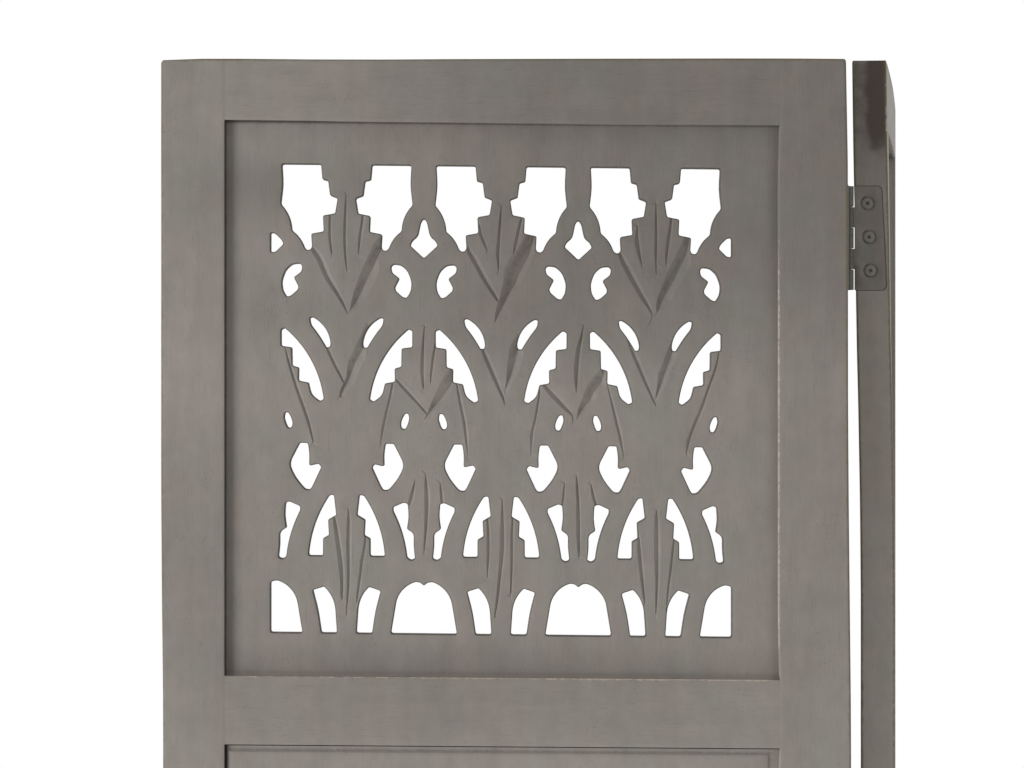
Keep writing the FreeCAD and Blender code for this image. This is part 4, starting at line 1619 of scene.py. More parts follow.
        def section(level: float) -> Section:
            """The stile's section, its free edge sanded a little unevenly."""
            low = 0.22 * wave(level, 190.0, 3.3) + 0.08 * wave(level, 23.0, 9.1)
            round_in = self.opening_radius(level)
            worn = self.outer_arris
            return Section(low, inner, 0.0, plan.thickness, worn, round_in, round_in, worn)

        member = FrameMember(
            "outer_stile", Grain.UPRIGHT, (0.0, plan.height), self.stile_stations(), section,
            rounded_ends=True, end_radius_low=2.0, end_radius_high=0.15, end_radius_face=0.9,
            end_sag=self.top_sag, joints_off=self.stile_joints(inner, 1),
        )
        mesh = member.mesh()
        self.dress_stile(mesh, outer=0.0, inner=inner, number=1)
        self.finish(mesh, "outer_stile")

    def hinge_stile(self, recesses: Sequence[Mesh], hinge_levels: Sequence[float]) -> None:
        """The wider stile that carries the hinges.

        Args:
            recesses: The shapes to cut for the hinge leaves and screws.
            hinge_levels: The middle levels of the hinges.
        """
        plan = self.plan
        inner = plan.sides[1]

        def section(level: float) -> Section:
            """The stile's section, its hinge edge planed straight."""
            high = plan.width - 0.12 * wave(level, 150.0, 6.2)
            round_in = self.opening_radius(level)
            worn = round_in * (self.worn_arris_share if round_in > self.joint_arris else 1.0)
            low = inner - self.into_opening(level)
            return Section(low, high, 0.0, plan.thickness, worn, self.outer_arris, self.outer_arris, round_in)

        member = FrameMember(
            "hinge_stile", Grain.UPRIGHT, (0.0, plan.height), self.stile_stations(hinge_levels), section,
            extra=(2, 6, 2, 0), rounded_ends=True,
            end_radius_low=0.15, end_radius_high=1.6, end_radius_face=0.9,
            end_sag=self.top_sag, joints_off=self.stile_joints(inner, -1) + list(recesses),
        )
        mesh = member.mesh()
        self.dress_stile(mesh, outer=plan.width, inner=inner, number=2, hinge_levels=hinge_levels)
        self.finish(mesh, "hinge_stile")

    def dress_stile(self, mesh: Mesh, outer: float, inner: float, number: int,
                    hinge_levels: Sequence[float] = ()) -> None:
        """Write a stile's grain and masks.

        Args:
            mesh: The stile's mesh.
            outer: Where its outer edge is.
            inner: Where its inner edge is.
            number: The piece's number, for its grain.
            hinge_levels: The middle levels of its hinges, if it has any.
        """
        plan = self.plan
        u, v, w = vertex_array(mesh).T
        face = np.minimum(v, plan.thickness - v)
        outer_arris = np.maximum(np.abs(u - outer), face)
        inner_arris = np.maximum(np.abs(u - inner), face)
        top = plan.height - w
        top_arris = np.maximum(top - 1.0, face)
        rim = np.maximum(near(outer_arris, 1.9), near(top_arris, 1.9))
        rim = rim * np.where(top < 330, 1.0, 0.85)
        opened = np.zeros(len(u))
        for sill, head in self.openings().values():
            opened = np.maximum(opened, np.clip(np.minimum(w - sill, head - w) / 4.0, 0, 1))
        front = self.name is PanelName.FRONT
        wear_and_painted_light = near(inner_arris, 1.6) * opened * 0.4
        # Painted shade: a dark line on the stile's inner wall in each opening.
        grime_and_painted_shade = near(np.abs(u - inner), 0.6) * (v > 1.2) * opened * 0.6
        if hinge_levels:
            into = np.array([self.into_opening(level) for level in w])
            beyond = np.maximum(np.abs(u - inner + into) - 0.6, 0.0)
            jali_sill = self.openings()["jali_board"][0]
            length = np.clip((top - 45.0) / 90.0, 0.3, 1.0) * np.clip((w - jali_sill) / 25.0, 0.45, 1.0)
            # A pale line along the hinge stile's inner arris: partly worn paint, partly a painted highlight
            # where that edge faces the light.
            wear_and_painted_light = near(np.maximum(beyond, v - 3.5), 1.3) * opened * length * 0.8
            grime_and_painted_shade = np.zeros(len(u))
        stain = np.zeros(len(u))
        tone = self.wash_tone_and_shade(u, w)
        for level in hinge_levels:
            around = np.maximum(np.abs(w - level) - 30.0, 3.9 - v)
            edge = (np.abs(u - outer) < 1.3) & (v > 1.0)
            wear_and_painted_light = np.maximum(wear_and_painted_light, near(np.abs(around - 0.9), 1.2) * edge * 0.62)
        if hinge_levels:
            on_edge = np.clip((u - (outer - 3.0)) / 2.0, 0, 1)
            stain = on_edge * np.clip((60.0 - top) / 17.0, 0, 1) * np.clip(1.9 - v / 9.5, 0.4, 1.0)
            if front:
                stain = stain * 0.3
            else:
                under_stain = np.clip((top - 40.0) / 60.0, 0, 1)
                under_hinge = np.clip((top - 220.0) / 120.0, 0, 1)
                # Painted light: the folded hinge stile's edge is made lighter, as it lies in the front
                # panel's shadow.
                tone = 1.0 + 0.38 * on_edge * under_stain + 0.14 * on_edge * under_hinge
                in_stain = np.clip(np.minimum(top - 10.0, 50.0 - top) / 6.0, 0, 1)
                golden = near(np.maximum(v - 0.6, 0.0), 1.2) * on_edge * in_stain
                wear_and_painted_light = np.maximum(wear_and_painted_light, golden * 0.75)
        elif not front:
            # Painted light on the folded outer stile's inner wall, which the lamps hardly reach, with less
            # painted shade there.
            tone = 1.0 + 0.45 * near(np.abs(u - inner), 0.7) * (v > 0.6) * opened
            grime_and_painted_shade = grime_and_painted_shade * 0.1
        Dressing(wear_and_painted_light, rim, grime_and_painted_shade, stain, tone).write(mesh, self.grained(mesh, Grain.UPRIGHT, number))

    def rail(self, name: str, number: int) -> None:
        """One rail between the stiles, with its tenons.

        Args:
            name: The rail's name without the panel's.
            number: The piece's number, for its grain.
        """
        plan = self.plan
        foot, head = self.rail_spans()[name]
        start, end = plan.sides
        at_top = name == "top_rail"
        at_foot = name == "bottom_rail"

        def section(place: float) -> Section:
            """The rail's section; the top rail's upper edge is sanded unevenly."""
            high = head - (self.top_sag(place) if at_top else 0.0)
            low_round = 0.8 if at_foot else self.opening_arris
            high_round = 0.95 if at_top else self.opening_arris
            low = foot
            if at_top:
                low += 0.2 * wave(place, 40.0, 4.4) - float(bowed(np.array(place), HEAD_SAG))
            return Section(low, high, 0.0, plan.thickness, low_round, high_round, high_round, low_round)

        under, over = foot + self.tenon_inset, head - self.tenon_inset
        tenons = [
            block_mesh((ends[0], self.tenon_front, under), (ends[1], self.tenon_back, over))
            for ends in ((start - self.tenon_length, start + 6.0), (end - 6.0, end + self.tenon_length))
        ]
        grooves = []
        if not at_top:
            grooves.append((head - self.groove_depth, head + 1.0))
        if not at_foot:
            grooves.append((foot - 1.0, foot + self.groove_depth))
        cutters = [
            block_mesh((start - 1.0, self.groove_front, low), (end + 1.0, self.groove_back, high))
            for low, high in grooves
        ]
        member = FrameMember(
            name, Grain.ACROSS, (start, end), station_list(start, end, self.rail_step), section,
            joints_on=tenons, joints_off=cutters,
        )
        mesh = member.mesh()
        u, v, w = vertex_array(mesh).T
        face = np.minimum(v, plan.thickness - v)
        upper = near(np.maximum(np.abs(w - head) - (1.0 if at_top else 0.0), face), 1.9)
        lower = near(np.maximum(np.abs(w - foot), face), 1.6)
        inside = np.clip(np.minimum(u - start, end - u) / 3.0, 0, 1)
        rim = upper if at_top else np.zeros(len(u))
        chipped = 0.75 + 0.45 * np.clip((u - start) / (end - start), 0, 1)
        # The worn upper arris, and painted light on the rail's narrow top side inside the opening, where the
        # corner is dim.
        ledge = near(np.abs(w - head), 0.6) * (v < self.board_front + 0.3)
        wear_and_painted_light = np.maximum(upper * chipped, ledge * 0.95) * inside + lower * inside * 0.6
        if at_top:
            wear_and_painted_light = lower * 0.35
        # Painted shade: a dark line along the rail's lower arris where it overhangs the board below.
        grime_and_painted_shade = near(np.abs(w - foot), 0.7) * (v > 0.9) * (0.9 if not at_foot else 0.0)
        dressing = Dressing(wear_and_painted_light, rim, grime_and_painted_shade, 0.0, self.wash_tone_and_shade(u, w))
        dressing.write(mesh, self.grained(mesh, Grain.ACROSS, number))
        self.finish(mesh, name)

    def fielded_board(self, name: str, number: int) -> None:
        """A solid board in its grooves, almost flush with the frame, with a soft step round its field.

        Args:
            name: The board's name without the panel's.
            number: The piece's number, for its grain.
        """
        plan = self.plan
        sill, head = self.openings()[name]
        start, end = plan.sides
        border_left, border_right, border_top, border_foot = 1.6, 6.0, 3.2, 4.5
        gap_left, gap_right, gap_top, gap_foot = 1.2, 0.1, 0.45, 0.3
        steps = (0.0, 0.3, 0.6, 0.9, 1.3)
        low, high = self.board_box(name)
        field_low = (start + border_left, sill + border_foot)
        field_high = (end - border_right, head - border_top)

        def lines(part: int) -> list[float]:
            """The grid's lines in one direction."""
            gaps = ((gap_left, gap_right), (gap_foot, gap_top))[part]
            edges = (start, sill)[part] + gaps[0], (end, head)[part] - gaps[1]
            marks = [low[part], (start, sill)[part], (end, head)[part], high[part]]
            marks += [edges[0], edges[0] + 0.2, edges[0] + 0.5, edges[1] - 0.5, edges[1] - 0.2, edges[1]]
            marks += [field_low[part] + step for step in steps] + [field_high[part] - step for step in steps]
            return station_list(low[part], high[part], self.board_step, marks)

        across, up = lines(0), lines(1)
        points, faces = [], []
        for w in up:
            for u in across:
                inside = min(u - field_low[0], field_high[0] - u, w - field_low[1], field_high[1] - w)
                share = min(max(inside / 1.3, 0.0), 1.0)
                rise = self.field_rise * (share * share * (3 - 2 * share))
                clear_across = min(u - start - gap_left, end - gap_right - u)
                clear = min(clear_across, w - sill - gap_foot, head - gap_top - w)
                rise += self.board_proud * min(max(clear / 0.2, 0.0), 1.0)
                points.append((u, self.board_front - rise + 0.05 * wave(u + w * 0.7, 60.0, 2.2), w))
        columns = len(across)
        for row in range(len(up) - 1):
            for column in range(columns - 1):
                here = row * columns + column
                faces.append((here, here + 1, here + columns + 1, here + columns))
        border = list(range(columns)) + [columns * row + columns - 1 for row in range(1, len(up))]
        border += [columns * (len(up) - 1) + column for column in range(columns - 2, -1, -1)]
        border += [columns * row for row in range(len(up) - 2, 0, -1)]
        back = len(points)
        points += [(points[number][0], self.board_back, points[number][2]) for number in border]
        back_ring = tuple(range(back, len(points)))
        faces += bridged([border, back_ring]) + [back_ring]
        mesh = mesh_from(name, points, faces)
        u, v, w = vertex_array(mesh).T
        on_front = v < 10.0
        # Painted shade: a dark crack along the frame and softer dark lines at the field's step, weaker on the
        # right.
        crack = np.minimum(np.minimum(u - start, end - u), np.minimum(w - sill, head - w))
        across_step = np.where(end - u < u - start, 0.3, 0.6) * near(
            np.abs(np.minimum(u - field_low[0], field_high[0] - u)), 0.55)
        up_step = 0.5 * near(np.abs(np.minimum(w - field_low[1], field_high[1] - w)), 0.55)
        inside = (crack > 1.5) * on_front
        in_crack = (v > self.board_front - 1.5) * on_front * 0.8
        grime_and_painted_shade = np.maximum(in_crack, np.maximum(across_step, up_step) * inside)
        tone = self.wash_tone_and_shade(u, w)
        # Painted shade: darker next to the left stile and on the border to the right of the field.
        tone -= 0.12 * near(u - start, 11.0) + 0.1 * (field_high[0] + 0.4 < u)
        Dressing(0.0, 0.0, grime_and_painted_shade, 0.0, tone).write(mesh, self.grained(mesh, Grain.UPRIGHT, number))
        self.finish(mesh, name)

    def cutouts(self) -> list[np.ndarray]:
        """The outlines of the fretwork's openings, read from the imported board's front face."""
        work = bmesh.new()
        work.from_mesh(frame["nodes"]["front_jali_board"].data)
        bmesh.ops.remove_doubles(work, verts=work.verts, dist=1e-6)
        work.verts.index_update()
        front = {face for face in work.faces if face.normal.y < -0.99}
        following: dict[int, int] = {}
        for face in front:
            for loop in face.loops:
                if sum(1 for other in loop.edge.link_faces if other in front) == 1:
                    following[loop.vert.index] = loop.link_loop_next.vert.index
        places = {
            vertex.index: ((vertex.co.x - self.plan.corner.x) / MM, vertex.co.z / MM) for vertex in work.verts
        }
        work.free()
        outlines = []
        while following:
            here = next(iter(following))
            ring = []
            while here in following:
                ring.append(places[here])
                here = following.pop(here)
            outlines.append(np.array(ring))
        outlines.sort(key=lambda ring: -abs(turning_area(ring)))
        return sorted(outlines[1:], key=lambda ring: (round(ring[:, 0].min(), 3), round(ring[:, 1].min(), 3)))

    def carving(self) -> Carving:
        """The carved cuts of every leaf and stem."""
        top = self.rail_spans()["top_rail"][0] - self.fret_drop
        draw = random.Random(self.seed)
        carving = Carving()
        stray = 0.05 if self.name is PanelName.FRONT else 0.4
        for number, leaf in enumerate(LEAVES):
            axis = self.leaf_start + self.leaf_pitch * number
            for cut in leaf:
                carving.add(cut, axis, top, lambda: draw.uniform(-stray, stray))
        return carving

    def jali_board(self, number: int) -> None:
        """The pierced and carved board.

        Args:
            number: The piece's number, for its grain.
        """
        plan = self.plan
        sill, head = self.openings()["jali_board"]
        start, end = plan.sides
        carving = self.carving()
        low, high = self.board_box("jali_board")
        outer = np.array([(low[0], low[1]), (high[0], low[1]), (high[0], high[1]), (low[0], high[1])])
        outer = eased_corners(outer, 2.0, 2.0, self.grid)
        holes = [eased_corners(ring, 1.3, 4.0, 0.75) for ring in self.cutouts()]
        rims = []
        for inset in (0.0, 0.9, 2.0):
            for u in np.arange(start, end, 2.0):
                rims += [(float(u), sill + inset), (float(u), head - inset)]
            for w in np.arange(sill, head, 2.0):
                rims += [(start + inset, float(w)), (end - inset, float(w))]

        def depth_at(places: np.ndarray) -> np.ndarray:
            """The carving's depth, on a face that was planed by hand."""
            uneven = np.array([0.16 * noise.noise(Vector((u / 38.0, w / 60.0, 4.2))) for u, w in places])
            return carving.depth_at(places)[0] + np.abs(uneven)

        plate = PiercedPlate(
            "jali_board", outer, holes, self.board_front, self.board_back, back_arris=0.9,
            inner_points=carving.crease_points(0.7) + rims, grid=self.grid, depth_at=depth_at,
        )
        mesh = plate.mesh()
        u, v, w = vertex_array(mesh).T
        on_front = v < self.board_front + 3.0
        bottom = carving.depth_at(np.column_stack([u, w]))[1]
        # Painted shade: dark along the left stile and under the top rail, and low in the cuts.
        crack = np.maximum(near(np.abs(u - start), 1.5), near(np.abs(head - w), 2.4))
        grime_and_painted_shade = np.maximum(crack, bottom * 0.4) * on_front
        # Painted shade on every wall of the openings.
        grime_and_painted_shade[plate.face_points:] = 0.6
        tone = self.wash_tone_and_shade(u, w)
        # Painted shade towards the right stile, the sill and the head.
        tone -= 0.1 * near(end - u, 9.0) + 0.16 * near(w - sill, 20.0) + 0.1 * near(head - w, 16.0)
        # Painted light: a pale strip along the sill, where the corner is dim.
        tone += 0.55 * near(np.abs(w - sill), 1.6)
        Dressing(0.0, 0.0, grime_and_painted_shade, 0.0, tone).write(mesh, self.grained(mesh, Grain.UPRIGHT, number))
        self.finish(mesh, "jali_board", 13.0)

    def build(self, hinges: Sequence["ButtHinge"]) -> None:
        """Build every piece of the panel."""
        recesses = [mesh for hinge in hinges for mesh in hinge.recess(self.name)]
        self.outer_stile()
        self.hinge_stile(recesses, [hinge.level for hinge in hinges])
        for number, name in enumerate(self.rail_spans()):
            self.rail(name, 10 + number)
        self.fielded_board("middle_board", 20)
        self.fielded_board("lower_board", 21)
        self.jali_board(22)


# Hinges


@dataclass
class ButtHinge:
    """A butt hinge: two leaves with rolled knuckles, their screws, and the pin."""

    workshop: Workshop
    name: str
    level: float
    drop: float = 1.6
    height: float = 61.2
    knuckles: int = 5
    gap: float = 0.3
    pin_radius: float = 1.6
    barrel_radius: float = 3.05
    leaf_thickness: float = 1.4
    leaf_reach: float = 20.2
    corner_radius: float = 3.0
    leaf_slip: float = 0.8
    leaf_lean: float = 0.026
    neck_start: float = -3.45
    recess_gap: float = 0.5
    screw_row: float = -11.6
    screw_pitch: float = 19.8
    screw_lift: float = 0.7
    head_radius: float = 3.3
    sink_radius: float = 4.4
    sink_depth: float = 0.35
    shank_radius: float = 1.5
    shank_length: float = 15.0
    rim: float = 0.14
    screw_sides: int = 40
    hole_sides: int = 16
    pin_sides: int = 32

    def to_panel(self, mesh: Mesh) -> Mesh:
        """Move a mesh from the hinge's own axis to its place beside the flat panel."""
        u, v = self.workshop.plan.hinge_in_panel()
        mesh.transform(Matrix.Translation(Vector((u, v, self.level - self.drop)) * MM))
        return mesh

    def slip(self, panel: PanelName, levels: np.ndarray) -> np.ndarray:
        """How far a leaf stands from its drawn place; the folded leaf is screwed on a little askew."""
        if panel is PanelName.FRONT:
            return np.zeros(len(levels))
        return self.leaf_slip - self.leaf_lean * (levels - self.level)

    def follow_stile(self, mesh: Mesh, panel: PanelName) -> Mesh:
        """Set a leaf's flat, or its screws, along its stile, and leave the knuckles."""
        v_axis = self.workshop.plan.hinge_in_panel()[1]
        places = vertex_array(mesh)
        on_flat = np.clip((v_axis + self.neck_start - places[:, 1]) / 4.0, 0, 1)
        shift = self.slip(panel, places[:, 2])
        if panel is PanelName.FOLDED:
            shift += bowed(places[:, 2], HandmadeShape.folded_bow)
        places[:, 1] -= shift * on_flat
        set_corners(mesh, places)
        return mesh

    def screw_levels(self) -> list[float]:
        """The screws' levels about the hinge's middle."""
        return [self.screw_pitch * step + self.screw_lift for step in (-1, 0, 1)]

    def leaf_outline(self, inner: float, outer: float, half: float, radius: float) -> np.ndarray:
        """The leaf's outline in y and z, with the two corners in the wood rounded."""
        points = [(outer, -half), (outer, half)]
        for centre_z, start in ((half - radius, 90.0), (-half + radius, 180.0)):
            for step in range(9):
                turn = math.radians(start + 90.0 * step / 8)
                points.append((inner + radius + radius * math.cos(turn), centre_z + radius * math.sin(turn)))
        return np.array(points)

    def leaf(self, numbers: Sequence[int]) -> Mesh:
        """One leaf about the hinge's axis, its flat on the side of negative x.

        Args:
            numbers: Which knuckles the leaf has, counted from below.

        Returns:
            The leaf's mesh.
        """
        outline = self.leaf_outline(-self.leaf_reach, self.neck_start, self.height / 2, self.corner_radius)
        outline = eased_corners(outline, 0.4, 0.4, 2.0)
        round_sides = [2 * math.pi * side / self.screw_sides for side in range(self.screw_sides)]
        sink = self.sink_radius
        holes = [
            np.array([(self.screw_row + sink * math.cos(t), level + sink * math.sin(t)) for t in round_sides])
            for level in self.screw_levels()
        ]
        flat = self.countersunk_plate(outline, holes)
        for number in numbers:
            flat = boolean(flat, self.knuckle(number), "UNION")
        return flat

    def countersunk_plate(self, outline: np.ndarray, holes: list[np.ndarray]) -> Mesh:
        """The flat of a leaf, its screw holes wide at the face and narrow at the wood."""
        back_x, face_x = -self.barrel_radius, -self.barrel_radius + self.leaf_thickness
        points: list[Point] = []
        faces: list[Face] = []
        face_flat: list[Span] = []
        face_ring_numbers: list[int] = []
        back_flat: list[Span] = []
        back_ring_numbers: list[int] = []
        face_loops, back_loops = [], []
        for line, hole in [(outline, False)] + [(hole, True) for hole in holes]:
            inset = moved_into_wood(line, self.rim, hole)
            centre = line.mean(axis=0)
            if hole:
                narrow = centre + (line - centre) * ((self.shank_radius + 0.25) / self.sink_radius)
                cone_start = centre + (line - centre) * 0.97
                steps = [
                    (inset, face_x), (line, face_x - self.rim * 0.6), (cone_start, face_x - self.rim * 1.6),
                    (narrow, back_x + 0.15), (narrow, back_x),
                ]
            else:
                steps = [
                    (inset, face_x), (line, face_x - self.rim), (line, back_x + self.rim), (inset, back_x),
                ]
            rings = []
            for ring, x in steps:
                first = len(points)
                points += [(x, float(y), float(z)) for y, z in ring]
                rings.append(list(range(first, len(points))))
            faces += bridged(rings)
            for flat, loops, numbers, ring, members in (
                (face_flat, face_loops, face_ring_numbers, steps[0][0], rings[0]),
                (back_flat, back_loops, back_ring_numbers, steps[-1][0], rings[-1]),
            ):
                first = len(flat)
                flat += [(float(y), float(z)) for y, z in ring]
                loops.append(list(range(first, len(flat))))
                numbers += members
        for flat, loops, numbers in (
            (face_flat, face_loops, face_ring_numbers), (back_flat, back_loops, back_ring_numbers),
        ):
            faces += filled(flat, loops, numbers)
        return mesh_from("leaf", points, faces)

    def knuckle(self, number: int) -> Mesh:
        """One knuckle: the leaf's sheet rolled round the pin until it meets itself."""
        pitch = self.height / self.knuckles
        foot = -self.height / 2 + pitch * number + self.gap / 2
        head = foot + pitch - self.gap
        outer, inner = self.barrel_radius - 0.02, self.barrel_radius - self.leaf_thickness + 0.02
        profile = [(-outer, self.neck_start - 0.8), (-outer, -1.0)]
        closing = 128.0
        for step in range(29):
            turn = math.radians(180.0 - (180.0 + closing) * step / 28)
            profile.append((outer * math.cos(turn), outer * math.sin(turn)))
        for step in range(21):
            turn = math.radians(-closing + 8.0 + (180.0 + closing - 8.0) * step / 20)
            profile.append((inner * math.cos(turn), inner * math.sin(turn)))
        profile += [(-inner, -1.0), (-inner, self.neck_start - 0.8)]
        line = np.array(profile)
        inset = moved_into_wood(line, self.rim * 0.8, False)
        points: list[Point] = []
        rings = []
        for ring, level in ((inset, foot), (line, foot + self.rim), (line, head - self.rim), (inset, head)):
            first = len(points)
            points += [(float(x), float(y), level) for x, y in ring]
            rings.append(list(range(first, len(points))))
        faces = bridged(rings)
        flat = [(float(x), float(y)) for x, y in inset]
        for ring in (rings[0], rings[-1]):
            faces += filled(flat, [range(len(flat))], ring)
        return mesh_from("knuckle", points, faces)

    def recess(self, panel: PanelName) -> list[Mesh]:
        """What a hinge stile loses to the leaf and its screws, in the flat panel's coordinates."""
        half = self.height / 2 + self.recess_gap * 0.6
        outline = self.leaf_outline(-self.leaf_reach - self.recess_gap, 6.0, half, self.corner_radius + 0.2)
        outline = eased_corners(outline, 0.2, 0.2, 1.6)
        ragged = []
        for y, z in outline:
            inner_side = min(max((-self.leaf_reach + 6.0 - y) / 6.0, 0.0), 1.0)
            low_side = min(max((18.0 - z) / 30.0, 0.0), 1.0)
            ragged.append((y - inner_side * (0.35 * low_side + 0.12 * wave(z, 9.0, 5.5)), z))
        points: list[Point] = []
        for x in (-self.barrel_radius, 3.0):
            points += [(x, y, z) for y, z in ragged]
        whole = mesh_from("recess", points, bar_faces(2, len(ragged)))
        radius, deepest = self.shank_radius + 0.1, -self.shank_length - 0.5
        corners, sides = turned([(radius, 0.5), (radius, deepest)], self.hole_sides)
        for level in self.screw_levels():
            places = [(-self.barrel_radius + z, self.screw_row + x, level + y) for x, y, z in corners]
            whole = boolean(whole, mesh_from("screw_hole", places, sides), "UNION")
        self.to_panel(whole)
        places = vertex_array(whole)
        places[:, 1] -= self.slip(panel, places[:, 2])
        set_corners(whole, places)
        return [whole]

    def screws(self, seed: int) -> Mesh:
        """The three screws of a leaf, each with a cross recess turned its own way."""
        draw = random.Random(seed)
        parts = []
        face_x = -self.barrel_radius + self.leaf_thickness - self.sink_depth
        cone_depth = self.leaf_thickness - 0.1
        head, shank, tip = self.head_radius, self.shank_radius, -self.shank_length
        profile = [
            (0.5, 0.02), (1.6, 0.0), (head - 0.35, -0.05), (head - 0.1, -0.12), (head, -0.24),
            (head - 0.1, -0.36), (shank, -cone_depth), (shank, tip + 3.0), (0.9, tip + 1.2), (0.15, tip),
        ]
        corners, sides = turned(profile, self.screw_sides)
        for level in self.screw_levels():
            screw = mesh_from("screw", corners, sides)
            turn = draw.uniform(0.2, 1.2)
            for extra in (0.0, math.pi / 2):
                screw = boolean(screw, self.recess_blade(turn + extra), "DIFFERENCE")
            tilt = Matrix.Rotation(math.radians(draw.uniform(-3, 3)), 4, "X")
            stand = Matrix((
                (0, 0, 1, face_x * MM), (1, 0, 0, self.screw_row * MM), (0, 1, 0, level * MM), (0, 0, 0, 1),
            ))
            screw.transform(stand @ tilt)
            parts.append(screw)
        return joined("screws", parts)

    def recess_blade(self, turn: float) -> Mesh:
        """One of the two tapered blades that cut a screw's cross recess."""
        half_length, half_width, depth = 1.75, 0.36, 0.95
        cosine, sine = math.cos(turn), math.sin(turn)
        points = []
        for shrink, height in ((1.0, 0.6), (0.45, -depth)):
            for x, y in ((-1, -1), (1, -1), (1, 1), (-1, 1)):
                along, aside = x * half_length * shrink, y * half_width
                points.append((along * cosine - aside * sine, along * sine + aside * cosine, height))
        faces = [(0, 1, 2, 3), (4, 5, 6, 7), (0, 1, 5, 4), (1, 2, 6, 5), (2, 3, 7, 6), (3, 0, 4, 7)]
        return mesh_from("blade", points, faces)

    def pin(self) -> Mesh:
        """The pin through the knuckles, its ends a little domed."""
        half = self.height / 2
        radius = self.pin_radius
        profile = [(radius * 0.35, -half), (radius * 0.8, -half + 0.12), (radius, -half + 0.45),
                   (radius, half - 0.45), (radius * 0.8, half - 0.12), (radius * 0.35, half)]
        corners, sides = turned(profile, self.pin_sides)
        return mesh_from("pin", corners, sides)

    def dress(self, mesh: Mesh, number: int, sunk: bool, panel: PanelName = PanelName.FRONT) -> None:
        """Write the masks of a metal piece that is still about the hinge's own axis.

        Args:
            mesh: The piece's mesh.
            number: The piece's number, for its clouds.
            sunk: True for the screws, whose recesses are darkened as painted shade.
            panel: The panel that a leaf belongs to.
        """
        x, y, z = vertex_array(mesh).T
        face_x = -self.barrel_radius + self.leaf_thickness
        levels = np.array(self.screw_levels())
        from_screw = np.min(np.hypot(y[:, None] - self.screw_row, z[:, None] - levels[None, :]), axis=1)
        if sunk:
            top = face_x - self.sink_depth
            # Painted shade in each cross recess and round the edge of each screw head.
            grime_and_painted_shade = np.where((x < top - 0.3), 0.85, 0.0)
            grime_and_painted_shade = np.maximum(grime_and_painted_shade, near(np.abs(from_screw - self.head_radius), 0.25) * 0.4)
            wear_and_painted_light = np.zeros(len(x))
        else:
            # Painted shade: a dark crescent on one side of each countersink.
            shaded = np.clip(0.5 + (y - self.screw_row) / 4.0, 0, 1)
            grime_and_painted_shade = np.where((from_screw < self.sink_radius - 0.1) & (y < -5), 0.75 * shaded, 0.0)
            # Painted shade in the gaps between the knuckles.
            pitch = self.height / self.knuckles
            from_gap = np.abs((z + self.height / 2 + pitch / 2) % pitch - pitch / 2)
            grime_and_painted_shade = np.maximum(grime_and_painted_shade, near(from_gap - 0.1, 0.5) * (y > -3.4) * 0.9)
            # Painted shadow on parts of each knuckle's barrel.
            if panel is PanelName.FOLDED:
                behind = np.clip((y + 2.1) / 0.5, 0, 1)
            else:
                behind = np.maximum(near(np.abs(x - 0.3), 0.8), near(np.abs(x - self.barrel_radius), 0.7))
                behind = behind * (y > -3.4)
            grime_and_painted_shade = np.maximum(grime_and_painted_shade, behind * 0.95)
            rolled = near(np.abs(np.hypot(x, y) - self.barrel_radius), 0.1) * (y > 0)
            wear_and_painted_light = near(np.abs(y - self.neck_start), 0.9) * 0.5 + rolled * 0.3
        shift = random.Random(number)
        grain = vertex_array(mesh) + np.array([shift.uniform(0, 900) for _ in range(3)])
        Dressing(wear_and_painted_light, 0.0, grime_and_painted_shade).write(mesh, grain)

    def build(self) -> None:
        """Build the leaves, the screws and the pin."""
        for offset, panel, numbers in ((0, PanelName.FRONT, (0, 2, 4)), (1, PanelName.FOLDED, (1, 3))):
            seed = int(self.level) * 10 + offset
            leaf = self.leaf(numbers)
            self.dress(leaf, seed, False, panel)
            node = f"{self.name}_{panel.value}_leaf"
            leaf = self.follow_stile(self.to_panel(leaf), panel)
            self.workshop.place(leaf, node, panel, Slot.HINGE, node + "_metal")
            screws = self.screws(seed)
            self.dress(screws, seed + 5, True)
            node = f"{self.name}_{panel.value}_screws"
            screws = self.follow_stile(self.to_panel(screws), panel)
            self.workshop.place(screws, node, panel, Slot.SCREW, node + "_metal")
        pin = self.pin()
        Dressing(0.0, 0.0, 0.2).write(pin, vertex_array(pin))
        node = self.name + "_pin"
        self.workshop.place(self.to_panel(pin), node, PanelName.FRONT, Slot.PIN, node + "_metal")


# Studio


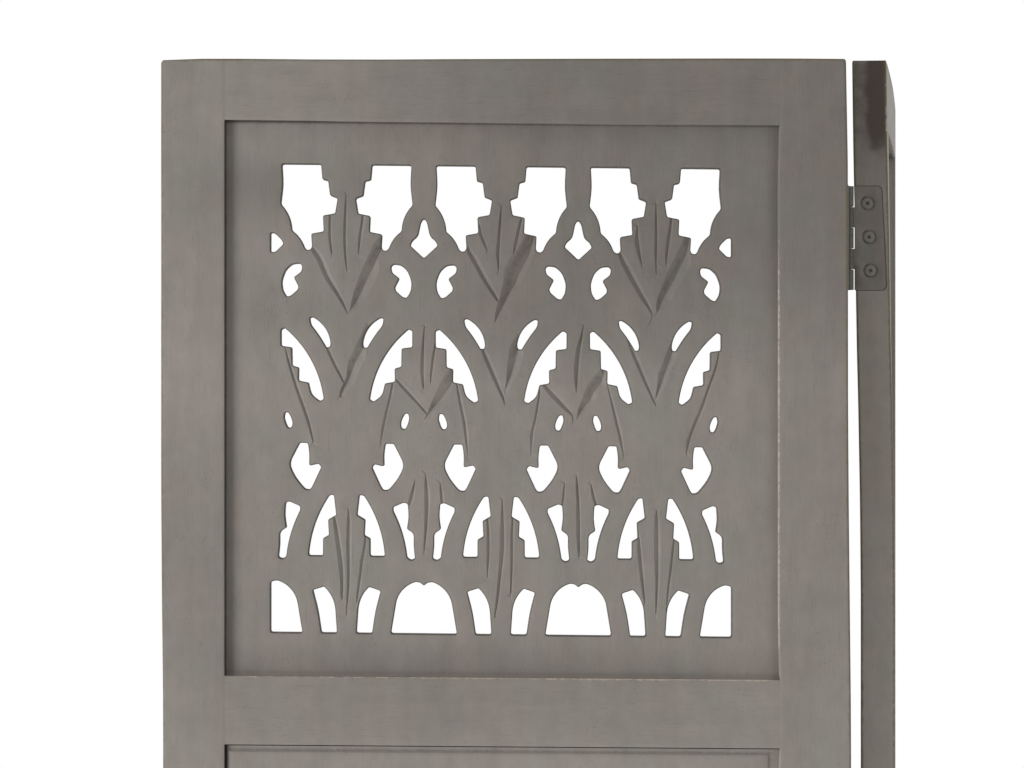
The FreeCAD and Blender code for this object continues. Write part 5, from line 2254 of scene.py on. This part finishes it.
@dataclass
class Studio:
    """The floor, the lights, the world and the camera."""

    plan: ScreenPlan
    camera_right: float = 4.2
    camera_distance: float = 2300.0
    camera_level: float = 1459.7
    lens: float = 139.1
    sensor: float = 36.0
    floor_half: float = 3.0
    sky_strength: float = 0.38
    aim_level: float = 1.1
    window_power: float = 44.0
    fill_power: float = 9.0
    back_power: float = 21.0

    def floor(self) -> None:
        """The plain pale floor."""
        half = self.floor_half
        mesh = bpy.data.meshes.new("studio_floor")
        corners = [(-half, -half, 0), (half, -half, 0), (half, half, 0), (-half, half, 0)]
        mesh.from_pydata(corners, [], [(0, 1, 2, 3)])
        mesh.materials.append(PlainFloor().build())
        floor = bpy.data.objects.new("studio_floor", mesh)
        bpy.context.scene.collection.objects.link(floor)

    def world(self) -> None:
        """Soft light all round, and plain white where it is seen directly or in a reflection."""
        world = bpy.data.worlds.new("studio_world")
        bpy.context.scene.world = world
        world.use_nodes = True
        world.node_tree.nodes.clear()
        nodes = Nodes(world.node_tree)
        white = (1.0, 1.0, 1.0, 1.0)
        soft = nodes.add("ShaderNodeBackground", {"Color": white, "Strength": self.sky_strength})
        seen = nodes.add("ShaderNodeBackground", {"Color": white, "Strength": 1.0})
        path = nodes.add("ShaderNodeLightPath")
        ray = nodes.maths("MAXIMUM", path.outputs["Is Camera Ray"], path.outputs["Is Glossy Ray"])
        ray = nodes.maths("MAXIMUM", ray, path.outputs["Is Transmission Ray"])
        mixed = nodes.add("ShaderNodeMixShader", {0: ray, 1: soft.outputs[0], 2: seen.outputs[0]})
        nodes.add("ShaderNodeOutputWorld", {"Surface": mixed.outputs[0]})

    def lamp(self, name: str, place: Sequence[float], aim: Sequence[float], size: Span, power: float) -> None:
        """One soft rectangular lamp.

        Args:
            name: The lamp's name.
            place: Where it stands, in metres.
            aim: What it points at.
            size: Its width and height.
            power: Its power in watts.
        """
        light = bpy.data.lights.new(name, "AREA")
        light.shape = "RECTANGLE"
        light.size, light.size_y = size
        light.energy = power
        lamp = bpy.data.objects.new(name, light)
        lamp.location = place
        lamp.rotation_euler = (Vector(aim) - Vector(place)).to_track_quat("-Z", "Y").to_euler()
        bpy.context.scene.collection.objects.link(lamp)

    def camera(self) -> None:
        """The camera at the photograph's place, level and square to the front panel."""
        data = bpy.data.cameras.new("photo_camera")
        data.lens = self.lens
        data.sensor_width = self.sensor
        data.clip_end = 100.0
        camera = bpy.data.objects.new("photo_camera", data)
        middle = self.plan.corner.x + (self.plan.width / 2 + self.camera_right) * MM
        camera.location = (middle, self.plan.corner.y - self.camera_distance * MM, self.camera_level * MM)
        camera.rotation_euler = (math.radians(90.0), 0.0, 0.0)
        bpy.context.scene.collection.objects.link(camera)
        bpy.context.scene.camera = camera

    def build(self) -> None:
        """Build the studio."""
        self.floor()
        self.world()
        self.camera()
        x, y = self.plan.corner.x + self.plan.width * MM / 2, self.plan.corner.y
        aim = (x, y, self.aim_level)
        self.lamp("window_light", (x - 1.9, y - 1.25, 1.0), aim, (0.9, 1.4), self.window_power)
        self.lamp("fill_light", (x + 1.9, y - 1.7, 1.3), aim, (1.4, 1.6), self.fill_power)
        self.lamp("back_light", (x + 2.4, y + 1.5, 1.3), aim, (1.6, 1.6), self.back_power)


def main() -> None:
    """Build the screen and its studio."""
    logging.basicConfig(level=logging.INFO, format="%(message)s")
    bpy.context.scene.view_settings.view_transform = "Standard"
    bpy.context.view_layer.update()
    plan = ScreenPlan()
    Studio(plan).build()
    workshop = Workshop(plan, {
        Slot.WOOD: WashedWood().build(),
        Slot.HINGE: PaintedMetal("washed_hinge_metal").build(),
        Slot.SCREW: PaintedMetal("washed_screw_metal", Colour(126, 121, 114), roughness=0.5).build(),
        Slot.PIN: PaintedMetal(
            "dull_pin_steel", Colour(120, 116, 110), roughness=0.42, metallic=0.85).build(),
    })
    hinges = []
    for name in ("top_hinge", "bottom_hinge"):
        low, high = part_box(name + "_pin")
        hinges.append(ButtHinge(workshop, name, (low.z + high.z) / 2 / MM))
    for panel in PanelName:
        Panel(workshop, panel).build(hinges)
    for hinge in hinges:
        hinge.build()


if __name__ == "__main__":
    main()
